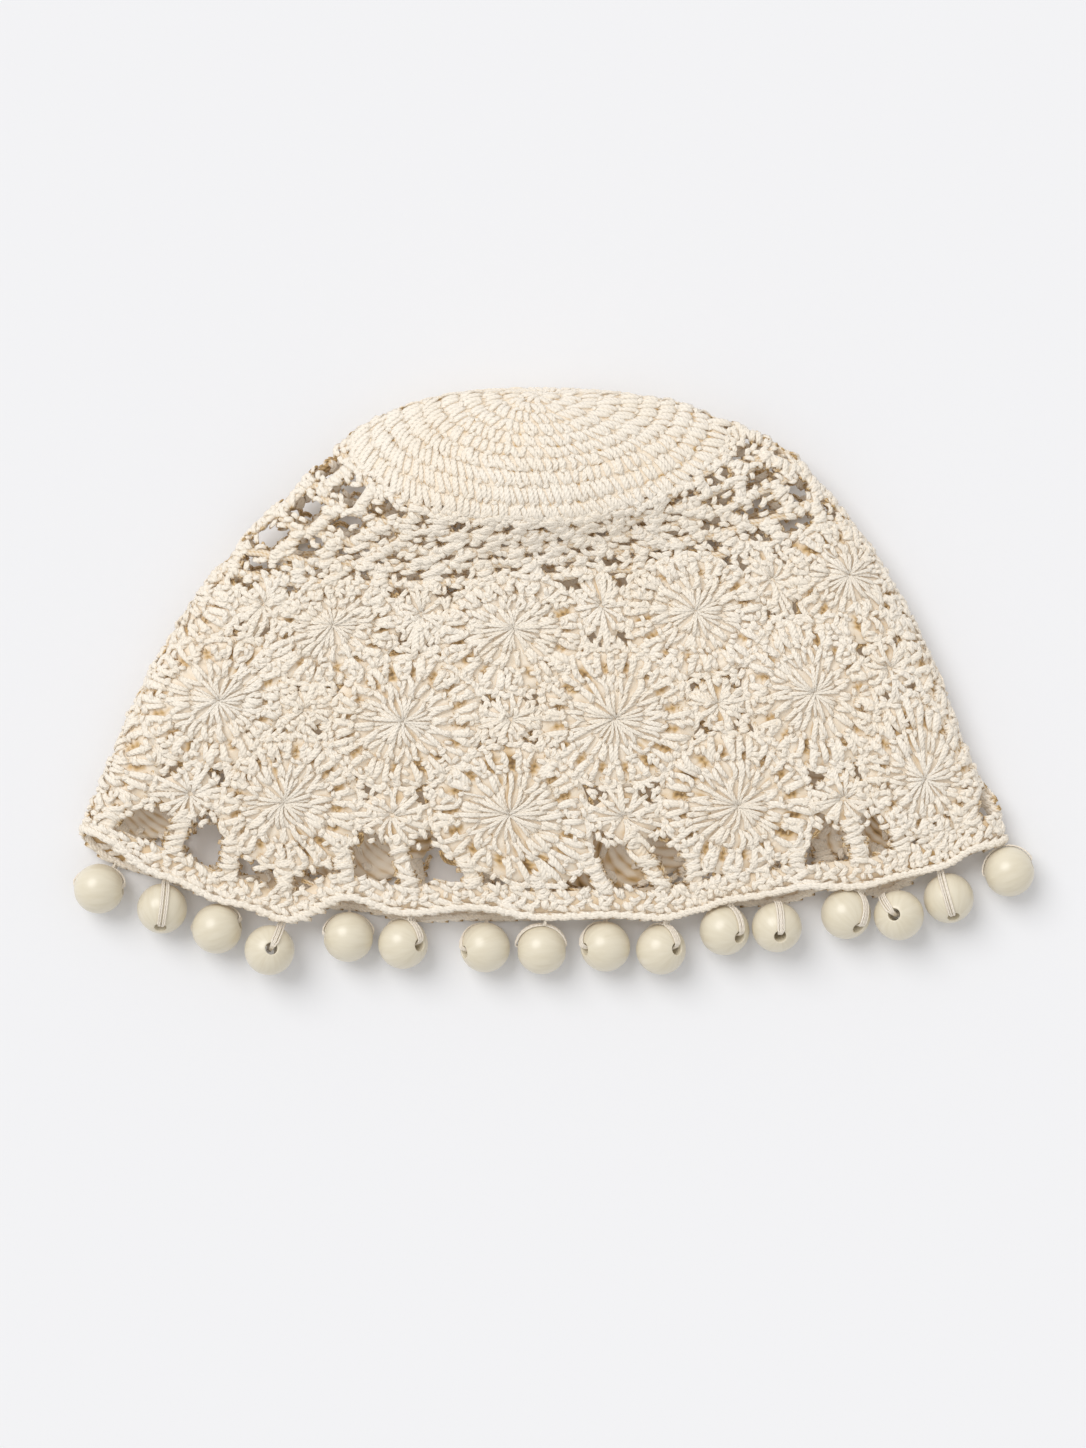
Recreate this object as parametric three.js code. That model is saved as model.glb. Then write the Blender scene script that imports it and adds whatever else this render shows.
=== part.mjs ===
// Crocheted cotton nightcap that lies flat on its back layer, with the crown away from the viewer.
// X runs from fold to fold, Y from the beaded rim to the crown, Z up from the surface.
// A spot of the fabric is named by its column (sixteen half motifs round the cap) and its level
// (rows of motifs counted from the middle of the crown), and the tables below lay it in space.
import * as THREE from 'three';

// Driving dimensions in millimetres
const HAT_WIDTH = 277;
const HAT_DEPTH = 156;
const HAT_LOFT = 30;
const FABRIC = 3;
const JOIN_GAP = 0.3;
const CROWN_GAP = 0.6;
const NET_GAP = 0.45;
const POST_GAP = 0.75;
const TIP_GAP = 0.45;
const SWING_GAP = 0.05;
const NECK_WIDTH = 3.4;
const NET_BAR = 4.6;
const POST_WIDTH = 3;
const POST_LENGTH = 1.4;
const BORDER_WIDTH = 8.2;
const SCALLOP = 3.3;
const BEAD_DIAMETER = 15;
const BEAD_BORE = 3.4;
const THREAD_DIAMETER = 1.3;

// Counts of the pattern
const HALF_COLUMNS = 16;
const NET_COLUMNS = 26;
const NET_ROWS = 4;
const CROWN_SECTORS = 28;
const MOTIF_SIDES = 12;
const BEAD_SIDES = 10;
const BEAD_STEPS = 5;
const THREAD_SIDES = 5;
const SWING_PASSES = 24;

// Where each part of the pattern begins and ends, in levels
const CROWN_EDGE = 1.9;
const CROWN_RINGS = [0.22, 0.5, 0.85, 1.3];
const MIDDLE_OF_CROWN = 0.05;

// How the fabric lies at each level. Half widths are shares of half HAT_WIDTH, the way down the cap
// of the two folds, the front and the back are shares of HAT_DEPTH, fold and rise are shares of
// HAT_LOFT, sag is how far the back reaches the surface, and bend is the rounded end of the fold
// as a share of half HAT_WIDTH.
const SECTIONS = [
  { level: 0.00, left: 0.000, right: 0.000, leftFold: 0.014, rightFold: 0.014, front: 0.014, back: 0.014,
    fold: 0.433, rise: 0.000, sag: 0.00, bend: 0.400, round: 0.50 },
  { level: 0.45, left: 0.098, right: 0.098, leftFold: 0.010, rightFold: 0.010, front: 0.058, back: -0.002,
    fold: 0.433, rise: 0.300, sag: 0.70, bend: 0.400, round: 0.50 },
  { level: 0.95, left: 0.210, right: 0.210, leftFold: 0.016, rightFold: 0.016, front: 0.112, back: 0.008,
    fold: 0.417, rise: 0.467, sag: 0.95, bend: 0.350, round: 0.50 },
  { level: 1.45, left: 0.314, right: 0.308, leftFold: 0.042, rightFold: 0.031, front: 0.173, back: 0.073,
    fold: 0.400, rise: 0.550, sag: 1.00, bend: 0.250, round: 0.50 },
  { level: 1.90, left: 0.399, right: 0.394, leftFold: 0.081, rightFold: 0.062, front: 0.246, back: 0.169,
    fold: 0.383, rise: 0.567, sag: 1.00, bend: 0.195, round: 0.50 },
  { level: 2.35, left: 0.546, right: 0.531, leftFold: 0.202, rightFold: 0.121, front: 0.296, back: 0.256,
    fold: 0.367, rise: 0.400, sag: 1.00, bend: 0.160, round: 0.60 },
  { level: 2.78, left: 0.674, right: 0.639, leftFold: 0.323, rightFold: 0.225, front: 0.346, back: 0.323,
    fold: 0.333, rise: 0.333, sag: 1.00, bend: 0.130, round: 0.65 },
  { level: 3.40, left: 0.739, right: 0.724, leftFold: 0.396, rightFold: 0.325, front: 0.454, back: 0.448,
    fold: 0.300, rise: 0.350, sag: 1.00, bend: 0.110, round: 0.70 },
  { level: 4.40, left: 0.847, right: 0.834, leftFold: 0.548, rightFold: 0.506, front: 0.635, back: 0.644,
    fold: 0.283, rise: 0.350, sag: 1.00, bend: 0.100, round: 0.70 },
  { level: 5.40, left: 0.931, right: 0.927, leftFold: 0.719, rightFold: 0.712, front: 0.810, back: 0.827,
    fold: 0.250, rise: 0.283, sag: 1.00, bend: 0.085, round: 0.70 },
  { level: 6.20, left: 0.981, right: 0.986, leftFold: 0.817, rightFold: 0.808, front: 0.950, back: 0.964,
    fold: 0.217, rise: 0.183, sag: 1.00, bend: 0.065, round: 0.70 },
  { level: 6.48, left: 0.996, right: 1.000, leftFold: 0.867, rightFold: 0.858, front: 1.000, back: 1.014,
    fold: 0.200, rise: 0.150, sag: 1.00, bend: 0.058, round: 0.70 },
  { level: 6.65, left: 1.000, right: 1.004, leftFold: 0.892, rightFold: 0.883, front: 1.031, back: 1.044,
    fold: 0.200, rise: 0.133, sag: 1.00, bend: 0.052, round: 0.70 },
];

// Turn of each half column round the cap, in the motifs and at the rim. Turn 0 is the right fold,
// half a turn the left one, the front lies between them and the back below zero. Hang is how much
// of SCALLOP more the rim dips there, and valley how much it dips half a column further on.
const COLUMNS = [
  { column: 0, body: 0.2670, rim: 0.2480, hang: 0.6, valley: 1.50 },
  { column: 1, body: 0.2025, rim: 0.1830, hang: 1.0, valley: 1.50 },
  { column: 2, body: 0.1380, rim: 0.1480, hang: -0.2, valley: 0.45 },
  { column: 3, body: 0.0790, rim: 0.0775, hang: 0.3, valley: 1.10 },
  { column: 4, body: 0.0320, rim: 0.0370, hang: 0.2, valley: 0.60 },
  { column: 5, body: -0.0100, rim: 0.0000, hang: 0.3, valley: 0.20 },
  { column: 6, body: -0.0660, rim: -0.0660, hang: 1.2, valley: 0.35 },
  { column: 7, body: -0.1310, rim: -0.1260, hang: 0.2, valley: 0.50 },
  { column: 8, body: -0.2100, rim: -0.2160, hang: 0.2, valley: 1.00 },
  { column: 9, body: -0.2900, rim: -0.2800, hang: 0.2, valley: 1.60 },
  { column: 10, body: -0.3550, rim: -0.3535, hang: 0.0, valley: 1.00 },
  { column: 11, body: -0.4200, rim: -0.4200, hang: 1.0, valley: 1.30 },
  { column: 12, body: -0.4875, rim: -0.4780, hang: 0.3, valley: -0.50 },
  { column: 13, body: -0.5525, rim: -0.5490, hang: 0.2, valley: 2.40 },
  { column: 14, body: -0.6050, rim: -0.6120, hang: 2.2, valley: 0.45 },
  { column: 15, body: -0.6665, rim: -0.6805, hang: 0.5, valley: 0.75 },
];
const FOLD_COLUMN = 5;
const CROWN_TURN = 0.275;
const BODY_BLEND = { from: 1.9, to: 3.2 };
const RIM_BLEND = { from: 5.4, to: 6.48 };
const DOMED_SHARE = 0.3;

// Rows of round motifs. Width and height are half sizes in motif pitches and in levels, and the
// filler that hangs on each motif's right side has its own middle level and half height.
const MOTIF_ROWS = [
  { name: 'upper', level: 3.4, first: 0, width: 0.38, height: 0.65, filler: 3.235, fillerHeight: 0.445 },
  { name: 'middle', level: 4.4, first: 1, width: 0.36, height: 0.70, filler: 4.355, fillerHeight: 0.290 },
  { name: 'lower', level: 5.4, first: 0, width: 0.335, height: 0.74, filler: 5.450, fillerHeight: 0.335 },
];
const MOTIF_RINGS = [0.5, 1];
const FOLDED_MOTIF_RINGS = [0.36, 0.7, 1];
const FOLD_REACH = 0.1;
const WAIST = { width: 0.42, height: 0.45 };

// Beads round the rim: the column that each hangs on, how far it leans sideways and the direction
// of its bore, all in degrees, azimuth from +X towards +Y and elevation above the surface.
const BEADS = [
  { column: 12, lean: -25, azimuth: 0, elevation: 0 },
  { column: 13, lean: 0, azimuth: -90, elevation: 40 },
  { column: 11, lean: -7, azimuth: 15, elevation: 5 },
  { column: 14, lean: -22, azimuth: 40, elevation: 78 },
  { column: 10, lean: 5, azimuth: 180, elevation: 8 },
  { column: 15, lean: -15, azimuth: 0, elevation: 44 },
  { column: 9, lean: 0, azimuth: 190, elevation: 28 },
  { column: 0, lean: -9, azimuth: 0, elevation: 0 },
  { column: 8, lean: 0, azimuth: 185, elevation: 29 },
  { column: 1, lean: -12, azimuth: 7, elevation: 50 },
  { column: 2, lean: -12, azimuth: -22, elevation: 50 },
  { column: 7, lean: 0, azimuth: -76, elevation: 70 },
  { column: 3, lean: -38, azimuth: -50, elevation: 45 },
  { column: 6, lean: 22, azimuth: 164, elevation: 72 },
  { column: 4, lean: 11, azimuth: -80, elevation: 40 },
  { column: 5, lean: 0, azimuth: 20, elevation: 10 },
];
const THREAD_END_ANGLE = THREE.MathUtils.degToRad(7);
const THREAD_MOUTH_ANGLE = THREE.MathUtils.degToRad(14.4);

// How far the thread lies from the bead and reaches to the rim, in thread diameters
const THREAD_LAY = 0.9;
const THREAD_REACH = { hanging: 1.4, leaning: 0.5 };

// One level down the cap, as a share of HAT_DEPTH
const LEVEL_SHARE = 0.177;
const rowPitch = LEVEL_SHARE * HAT_DEPTH;
const columnPitch = (2 * HAT_WIDTH) / HALF_COLUMNS;
const levelGap = JOIN_GAP / rowPitch;

// One key of the section table at any level, smooth through the rows and straight past the last
function sectionValue(key, level) {
  const last = SECTIONS.length - 1;
  const at = THREE.MathUtils.clamp(SECTIONS.findIndex((row) => row.level > level) - 1, 0, last - 1);
  const index = level >= SECTIONS[last].level ? last - 1 : at;
  const slope = (row) => {
    const before = SECTIONS[Math.max(row - 1, 0)];
    const after = SECTIONS[Math.min(row + 1, last)];
    return (after[key] - before[key]) / (after.level - before.level);
  };
  const from = SECTIONS[index];
  const to = SECTIONS[index + 1];
  const span = to.level - from.level;
  const t = (level - from.level) / span;
  if (t > 1) {
    return to[key] + (level - to.level) * slope(index + 1);
  }
  const rise = t * t * (3 - 2 * t);
  const leave = t * (1 - t) * (1 - t) * span * slope(index);
  const arrive = t * t * (t - 1) * span * slope(index + 1);
  return from[key] * (1 - rise) + to[key] * rise + leave + arrive;
}

// One key of the column table at any column, round the cap, where a turn falls by one each time
function columnValue(key, column, turnsPerWrap) {
  const index = Math.floor(column);
  const t = column - index;
  const value = (position) => {
    const wrap = Math.floor(position / HALF_COLUMNS);
    return COLUMNS[position - wrap * HALF_COLUMNS][key] - wrap * turnsPerWrap;
  };
  const [a, b, c, d] = [index - 1, index, index + 1, index + 2].map(value);
  const rise = t * t * (3 - 2 * t);
  const leave = t * (1 - t) * (1 - t) * (c - a) / 2;
  const arrive = t * t * (t - 1) * (d - b) / 2;
  return b * (1 - rise) + c * rise + leave + arrive;
}

// Turn round the cap: even in the crown, then as the motifs lie, then as the rim lies
function turnAt(column, level) {
  const toBody = THREE.MathUtils.smoothstep(level, BODY_BLEND.from, BODY_BLEND.to);
  const toRim = THREE.MathUtils.smoothstep(level, RIM_BLEND.from, RIM_BLEND.to);
  const even = CROWN_TURN - column / HALF_COLUMNS;
  const body = THREE.MathUtils.lerp(even, columnValue('body', column, 1), toBody);
  return THREE.MathUtils.lerp(body, columnValue('rim', column, 1), toRim);
}

// Middle of the fabric's wall at a column and level
function fabricPoint(column, level) {
  const half = HAT_WIDTH / 2;
  const at = (key) => sectionValue(key, level);
  const width = Math.max((at('left') + at('right')) / 2, 0) * half;
  const middle = ((at('right') - at('left')) / 2) * half;
  const bend = Math.min(at('bend') * half, width);
  const fold = at('fold') * HAT_LOFT;
  const rise = at('rise') * HAT_LOFT;
  const turn = THREE.MathUtils.euclideanModulo(turnAt(column, level), 1);
  const isFront = turn < 0.5;
  const depth = isFront ? rise * (1 - DOMED_SHARE) : (fold - FABRIC / 2) * Math.min(at('sag'), 1);
  const quarter = (Math.PI / 2) * Math.sqrt((bend * bend + depth * depth) / 2);
  const halfGirth = 2 * (width - bend) + 2 * quarter;
  const along = (isFront ? turn : 1 - turn) * 2 * halfGirth;
  const side = along < halfGirth / 2 ? 1 : -1;
  const near = side > 0 ? along : halfGirth - along;
  const angle = quarter > 0 ? Math.min(near / quarter, 1) * (Math.PI / 2) : 0;
  const x = side * (width - bend + bend * Math.cos(angle) - Math.max(near - quarter, 0));
  const share = width > 0 ? x / width : 0;
  const crest = Math.max(1 - share * share, 0);
  const foldLine = THREE.MathUtils.lerp(at('leftFold'), at('rightFold'), (share + 1) / 2);
  const face = at(isFront ? 'front' : 'back') - (at('leftFold') + at('rightFold')) / 2;
  const down = foldLine + face * Math.pow(crest, at('round'));
  const lift = depth * Math.sin(angle);
  const z = isFront ? fold + lift + rise * DOMED_SHARE * crest : fold - lift;
  return new THREE.Vector3(middle + x, -down * HAT_DEPTH, z);
}

// Outward normal of the fabric, taken as a mean round the middle of the crown
function fabricNormal(column, level) {
  const step = 0.01;
  if (level < MIDDLE_OF_CROWN) {
    const quarters = [0, 1, 2, 3].map((quarter) => quarter * HALF_COLUMNS / 4);
    const sum = new THREE.Vector3();
    quarters.forEach((quarter) => sum.add(fabricNormal(quarter, MIDDLE_OF_CROWN)));
    return sum.normalize();
  }
  const down = fabricPoint(column, level + step).sub(fabricPoint(column, level - step));
  const across = fabricPoint(column + step, level).sub(fabricPoint(column - step, level));
  return down.cross(across).normalize();
}

// A clearance between neighbours of a row, in columns, wider where the columns are narrow
function columnGap(column, level, gap) {
  return gap / fabricPoint(column - 0.5, level).distanceTo(fabricPoint(column + 0.5, level));
}

// A flat drawing of one crocheted piece: spots in pattern places and faces anticlockwise from outside
class Drawing {
  constructor() {
    this.spots = [];
    this.faces = [];
  }

  spot(column, level) {
    this.spots.push({ column, level });
    return this.spots.length - 1;
  }

  face(first, ...rest) {
    for (let i = 0; i + 1 < rest.length; i += 1) {
      this.faces.push([first, rest[i], rest[i + 1]]);
    }
  }
}

// Turns a drawing into a closed wall of the fabric's thickness
function crochetWall(drawing) {
  const count = drawing.spots.length;
  const positions = [];
  for (const side of [1, -1]) {
    for (const { column, level } of drawing.spots) {
      const normal = fabricNormal(column, level);
      const place = fabricPoint(column, level).addScaledVector(normal, (side * FABRIC) / 2);
      positions.push(place.x, place.y, place.z);
    }
  }
  const edges = new Set();
  const index = [];
  for (const [a, b, c] of drawing.faces) {
    index.push(a, b, c, a + count, c + count, b + count);
    [[a, b], [b, c], [c, a]].forEach(([from, to]) => edges.add(`${from} ${to}`));
  }
  for (const edge of edges) {
    const [from, to] = edge.split(' ').map(Number);
    if (!edges.has(`${to} ${from}`)) {
      index.push(from, from + count, to + count, from, to + count, to);
    }
  }
  const geometry = new THREE.BufferGeometry();
  geometry.setAttribute('position', new THREE.Float32BufferAttribute(positions, 3));
  geometry.setIndex(index);
  geometry.computeVertexNormals();
  return geometry;
}

// Solid crown worked in rounds from its middle
function crownGeometry() {
  const drawing = new Drawing();
  const levels = [...CROWN_RINGS, CROWN_EDGE - CROWN_GAP / rowPitch];
  const middle = drawing.spot(0, 0);
  let inner = null;
  for (const level of levels) {
    const ring = [];
    for (let sector = 0; sector < CROWN_SECTORS; sector += 1) {
      ring.push(drawing.spot((sector * HALF_COLUMNS) / CROWN_SECTORS, level));
    }
    for (let sector = 0; sector < CROWN_SECTORS; sector += 1) {
      const next = (sector + 1) % CROWN_SECTORS;
      if (inner) {
        drawing.face(inner[sector], ring[sector], ring[next], inner[next]);
      } else {
        drawing.face(middle, ring[sector], ring[next]);
      }
    }
    inner = ring;
  }
  return crochetWall(drawing);
}

// Level of the flat top or bottom side of a row's motifs
function flatSide(row, direction) {
  const reach = row.height - levelGap / 2;
  return row.level + direction * reach * Math.cos(Math.PI / MOTIF_SIDES);
}

// Open net between the crown and the motifs: bars round the cap joined by posts set brickwise
function netGeometry() {
  const drawing = new Drawing();
  const top = CROWN_EDGE + levelGap;
  const bottom = flatSide(MOTIF_ROWS[0], -1) - NET_GAP / rowPitch;
  const pitch = HALF_COLUMNS / NET_COLUMNS;
  const middle = (top + bottom) / 2;
  const girth = 2 * HAT_WIDTH * (sectionValue('left', middle) + sectionValue('right', middle)) / 2;
  const halfPost = (pitch / 2) * (NET_BAR / (girth / NET_COLUMNS));
  const height = fabricPoint(FOLD_COLUMN, top).distanceTo(fabricPoint(FOLD_COLUMN, bottom));
  const bar = (bottom - top) * (NET_BAR / height);
  const step = (bottom - top - bar) / NET_ROWS;
  const postEdges = (row) => {
    const columns = [];
    for (let post = 0; post < NET_COLUMNS; post += 1) {
      const column = (post + (row % 2) / 2) * pitch;
      columns.push(column - halfPost, column + halfPost);
    }
    return columns;
  };
  const bars = [];
  for (let row = 0; row <= NET_ROWS; row += 1) {
    const level = top + row * step;
    const upper = postEdges(row + 1).map((column) => drawing.spot(column, level));
    const lower = postEdges(row).map((column) => drawing.spot(column, level + bar));
    bars.push({ upper, lower });
    const leadsBelow = row % 2 === 0;
    const [lead, follow] = leadsBelow ? [lower, upper] : [upper, lower];
    const add = (a, b, c) => (leadsBelow ? drawing.face(a, b, c) : drawing.face(a, c, b));
    for (let left = 0; left < lead.length; left += 2) {
      const right = left + 1;
      const next = (left + 2) % lead.length;
      add(lead[left], lead[right], follow[left]);
      add(lead[right], follow[right], follow[left]);
      add(lead[right], lead[next], follow[right]);
      add(follow[right], lead[next], follow[next]);
    }
  }
  for (let row = 0; row < NET_ROWS; row += 1) {
    const above = bars[row].lower;
    const below = bars[row + 1].upper;
    for (let post = 0; post < NET_COLUMNS; post += 1) {
      const [left, right] = [2 * post, 2 * post + 1];
      drawing.face(above[left], below[left], below[right], above[right]);
    }
  }
  return crochetWall(drawing);
}

// Round motif in rings, with the filler diamond that a narrow neck holds on its right side
function motifGeometry(column, row, rings) {
  const drawing = new Drawing();
  const width = 2 * row.width - columnGap(column, row.level, JOIN_GAP) / 2;
  const height = row.height - levelGap / 2;
  const place = (angle, share) => [
    column + share * width * Math.cos(angle),
    row.level - share * height * Math.sin(angle),
  ];
  const middle = drawing.spot(column, row.level);
  const angles = Array.from({ length: MOTIF_SIDES }, (_, side) => ((side + 0.5) * 2 * Math.PI) / MOTIF_SIDES);
  const flat = width * Math.cos(angles[0]);
  const halfNeck = NECK_WIDTH / 2 / rowPitch;
  const neckReach = height * Math.sin(angles[0]) - halfNeck;
  const neckLevel = row.level + THREE.MathUtils.clamp(row.filler - row.level, -neckReach, neckReach);
  const lastSide = MOTIF_SIDES - 1;
  let inner = null;
  let neck = null;
  for (const share of rings) {
    const ring = angles.map((angle) => drawing.spot(...place(angle, share)));
    for (let side = 0; side < MOTIF_SIDES; side += 1) {
      const next = (side + 1) % MOTIF_SIDES;
      if (share === 1 && side === lastSide) {
        const lower = drawing.spot(column + flat, neckLevel + halfNeck);
        const upper = drawing.spot(column + flat, neckLevel - halfNeck);
        neck = { lower, upper };
        drawing.face(inner[side], ring[side], lower, upper, ring[next], inner[next]);
      } else if (inner) {
        drawing.face(inner[side], ring[side], ring[next], inner[next]);
      } else {
        drawing.face(middle, ring[side], ring[next]);
      }
    }
    inner = ring;
  }
  const tip = 1 - flat - columnGap(column + 1, row.filler, TIP_GAP);
  const waist = (x, y) => drawing.spot(
    column + 1 + x * WAIST.width * tip,
    row.filler + y * WAIST.height * row.fillerHeight,
  );
  const heart = drawing.spot(column + 1, row.filler);
  const right = drawing.spot(column + 1 + tip, neckLevel);
  const upperRight = waist(1, -1);
  const top = drawing.spot(column + 1, row.filler - row.fillerHeight);
  const upperLeft = waist(-1, -1);
  const lowerLeft = waist(-1, 1);
  const bottom = drawing.spot(column + 1, row.filler + row.fillerHeight);
  const lowerRight = waist(1, 1);
  const outline = [right, upperRight, top, upperLeft, neck.upper, neck.lower, lowerLeft, bottom, lowerRight];
  outline.forEach((corner, i) => drawing.face(heart, corner, outline[(i + 1) % outline.length]));
  return crochetWall(drawing);
}

const lowerRow = MOTIF_ROWS[MOTIF_ROWS.length - 1];
const borderTop = flatSide(lowerRow, 1) + levelGap + POST_LENGTH / rowPitch;

// Level of the scalloped rim, which dips at each whole column, where a bead hangs
function rimLevel(column) {
  const peak = (1 + Math.cos(2 * Math.PI * column)) / 2;
  const dip = peak * (1 + columnValue('hang', column, 0));
  const sink = (1 - peak) * columnValue('valley', column - 0.5, 0);
  return borderTop + (BORDER_WIDTH + SCALLOP * (dip + sink - 1)) / rowPitch;
}

// Level of the border's upper side, which follows the rim where that hangs low
function bandLevel(column) {
  return Math.max(borderTop, rimLevel(column) - BORDER_WIDTH / rowPitch);
}

// Level where the post at a column stops, just short of the motif or filler above it
function postTop(column) {
  const nearest = 2 * Math.round(column / 2);
  const offset = Math.abs(column - nearest);
  if (offset === 1) {
    return lowerRow.filler + lowerRow.fillerHeight + levelGap;
  }
  if (offset === 0) {
    return flatSide(lowerRow, 1) + levelGap;
  }
  const corner = Math.PI / 4;
  return lowerRow.level + lowerRow.height * Math.sin(corner) + POST_GAP / rowPitch;
}

// Scalloped border with the posts that carry the lowest motifs and fillers
function edgingGeometry() {
  const drawing = new Drawing();
  const halfPost = POST_WIDTH / 2 / columnPitch;
  const posts = 2 * HALF_COLUMNS;
  const columns = [];
  for (let post = 0; post < posts; post += 1) {
    columns.push(post / 2 - halfPost, post / 2 + halfPost, (post + 0.5) / 2);
  }
  const upper = columns.map((column) => drawing.spot(column, bandLevel(column)));
  const lower = columns.map((column) => drawing.spot(column, rimLevel(column)));
  columns.forEach((_, i) => {
    const next = (i + 1) % columns.length;
    drawing.face(upper[i], lower[i], lower[next], upper[next]);
  });
  for (let post = 0; post < posts; post += 1) {
    const [left, right] = [upper[3 * post], upper[3 * post + 1]];
    const level = postTop(post / 2);
    const topLeft = drawing.spot(post / 2 - halfPost, level);
    const topRight = drawing.spot(post / 2 + halfPost, level);
    drawing.face(topLeft, left, right, topRight);
  }
  return crochetWall(drawing);
}

// Round wooden bead with its bore along Y
function beadGeometry() {
  const radius = BEAD_DIAMETER / 2;
  const bore = BEAD_BORE / 2;
  const start = Math.asin(bore / radius);
  const profile = [];
  for (let step = 0; step <= BEAD_STEPS; step += 1) {
    const angle = Math.PI - start - ((Math.PI - 2 * start) * step) / BEAD_STEPS;
    profile.push(new THREE.Vector2(radius * Math.sin(angle), radius * Math.cos(angle)));
  }
  profile.push(profile[0].clone());
  return new THREE.LatheGeometry(profile, BEAD_SIDES);
}

// A smooth path whose steps fall on its own points
class PointPath extends THREE.CatmullRomCurve3 {
  getUtoTmapping(share) {
    return share;
  }
}

// Where a bead hangs: its middle, the way to the rim and the way of its bore
function beadPlace({ column, lean, azimuth, elevation }) {
  const level = rimLevel(column);
  const anchor = fabricPoint(column, level);
  const outward = anchor.clone().sub(fabricPoint(column, level - 0.1)).setZ(0).normalize();
  const tilt = THREE.MathUtils.degToRad(lean);
  outward.applyAxisAngle(new THREE.Vector3(0, 0, 1), tilt);
  const pitch = THREE.MathUtils.degToRad(elevation);
  const heading = THREE.MathUtils.degToRad(azimuth);
  const bore = new THREE.Vector3(
    Math.cos(pitch) * Math.cos(heading),
    Math.cos(pitch) * Math.sin(heading),
    Math.sin(pitch),
  );
  const radius = BEAD_DIAMETER / 2;
  const threadReach = radius + 2 * THREAD_DIAMETER;
  const height = Math.max(radius, threadReach * Math.sin(pitch));
  const reach = THREAD_REACH.hanging + THREAD_REACH.leaning * Math.abs(Math.sin(tilt));
  const clear = radius + reach * THREAD_DIAMETER + JOIN_GAP;
  const climb = height - anchor.z;
  const distance = clear + (FABRIC / 3) * Math.abs(climb / clear);
  const middle = anchor.clone().addScaledVector(outward, Math.sqrt(distance * distance - climb * climb));
  middle.z = height;
  return { middle, bore, toRim: anchor.clone().sub(middle).normalize() };
}

// Smooth way of the thread out of the bore and along the bead to the rim, from the bead's middle
function threadRoute({ bore, toRim }) {
  const lay = BEAD_DIAMETER / 2 + THREAD_LAY * THREAD_DIAMETER;
  const sideways = toRim.clone().addScaledVector(bore, -toRim.dot(bore)).normalize();
  const spread = Math.acos(THREE.MathUtils.clamp(toRim.dot(bore), -1, 1));
  const at = (end, angle, distance) => bore.clone()
    .multiplyScalar(end * distance * Math.cos(angle))
    .addScaledVector(sideways, distance * Math.sin(angle));
  const leg = (end, angle) => {
    const stop = angle - THREAD_END_ANGLE;
    const walk = (share) => THREE.MathUtils.lerp(THREAD_MOUTH_ANGLE, stop, share);
    return [
      at(end, walk(1), lay),
      at(end, walk(2 / 3), lay),
      at(end, walk(1 / 3), lay),
      at(end, THREAD_MOUTH_ANGLE, lay + THREAD_DIAMETER / 4),
      at(end, THREAD_MOUTH_ANGLE / 10, lay - THREAD_DIAMETER / 3),
    ];
  };
  return new PointPath([...leg(1, spread), ...leg(-1, Math.PI - spread).reverse()]);
}

// Thread that follows its route
function threadGeometry(place) {
  const route = threadRoute(place);
  const section = new THREE.Shape();
  for (let side = 0; side < THREAD_SIDES; side += 1) {
    const angle = (2 * Math.PI * side) / THREAD_SIDES;
    const corner = [Math.cos(angle), Math.sin(angle)].map((value) => (value * THREAD_DIAMETER) / 2);
    if (side === 0) {
      section.moveTo(...corner);
    } else {
      section.lineTo(...corner);
    }
  }
  return new THREE.ExtrudeGeometry(section, { steps: route.points.length - 1, extrudePath: route });
}

// How much nearer than SWING_GAP a bead is to a neighbour or its thread
function crowding(bead, other) {
  const thread = threadRoute(other).getPoints(4 * THREAD_SIDES).map((point) => point.add(other.middle));
  const toThread = Math.min(...thread.map((point) => point.distanceTo(bead.middle)));
  const threadRoom = (BEAD_DIAMETER + THREAD_DIAMETER) / 2 + SWING_GAP - toThread;
  return Math.max(threadRoom, BEAD_DIAMETER + SWING_GAP - bead.middle.distanceTo(other.middle));
}

// Where the beads hang once those too near each other have swung apart
function hangBeads() {
  const leans = BEADS.map((entry) => entry.lean);
  const hang = () => BEADS.map((entry, i) => beadPlace({ ...entry, lean: leans[i] }));
  let places = hang();
  for (let pass = 0; pass < SWING_PASSES; pass += 1) {
    places.forEach((bead, i) => {
      places.forEach((other, j) => {
        const short = i === j ? 0 : Math.max(crowding(bead, other), 0);
        const way = Math.sign(bead.middle.x - other.middle.x);
        const swing = THREE.MathUtils.radToDeg(short / BEAD_DIAMETER) * way;
        leans[i] += swing;
        leans[j] -= swing;
      });
    });
    places = hang();
  }
  return places;
}

// True where a motif bends round one of the two folds
function crossesFold(column, row) {
  const turn = turnAt(column, row.level);
  return Math.abs(turn * 2 - Math.round(turn * 2)) < FOLD_REACH;
}

const cottonMaterial = new THREE.MeshStandardMaterial({ color: 0xf2e6cf, roughness: 0.85, metalness: 0 });
const beadMaterial = new THREE.MeshStandardMaterial({ color: 0xece2c6, roughness: 0.35, metalness: 0 });
const threadMaterial = new THREE.MeshStandardMaterial({ color: 0xf6efdf, roughness: 0.8, metalness: 0 });

const nightcap = new THREE.Group();

function addPiece(name, geometry, material) {
  const piece = new THREE.Mesh(geometry, material);
  piece.name = name;
  nightcap.add(piece);
  return piece;
}

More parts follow.
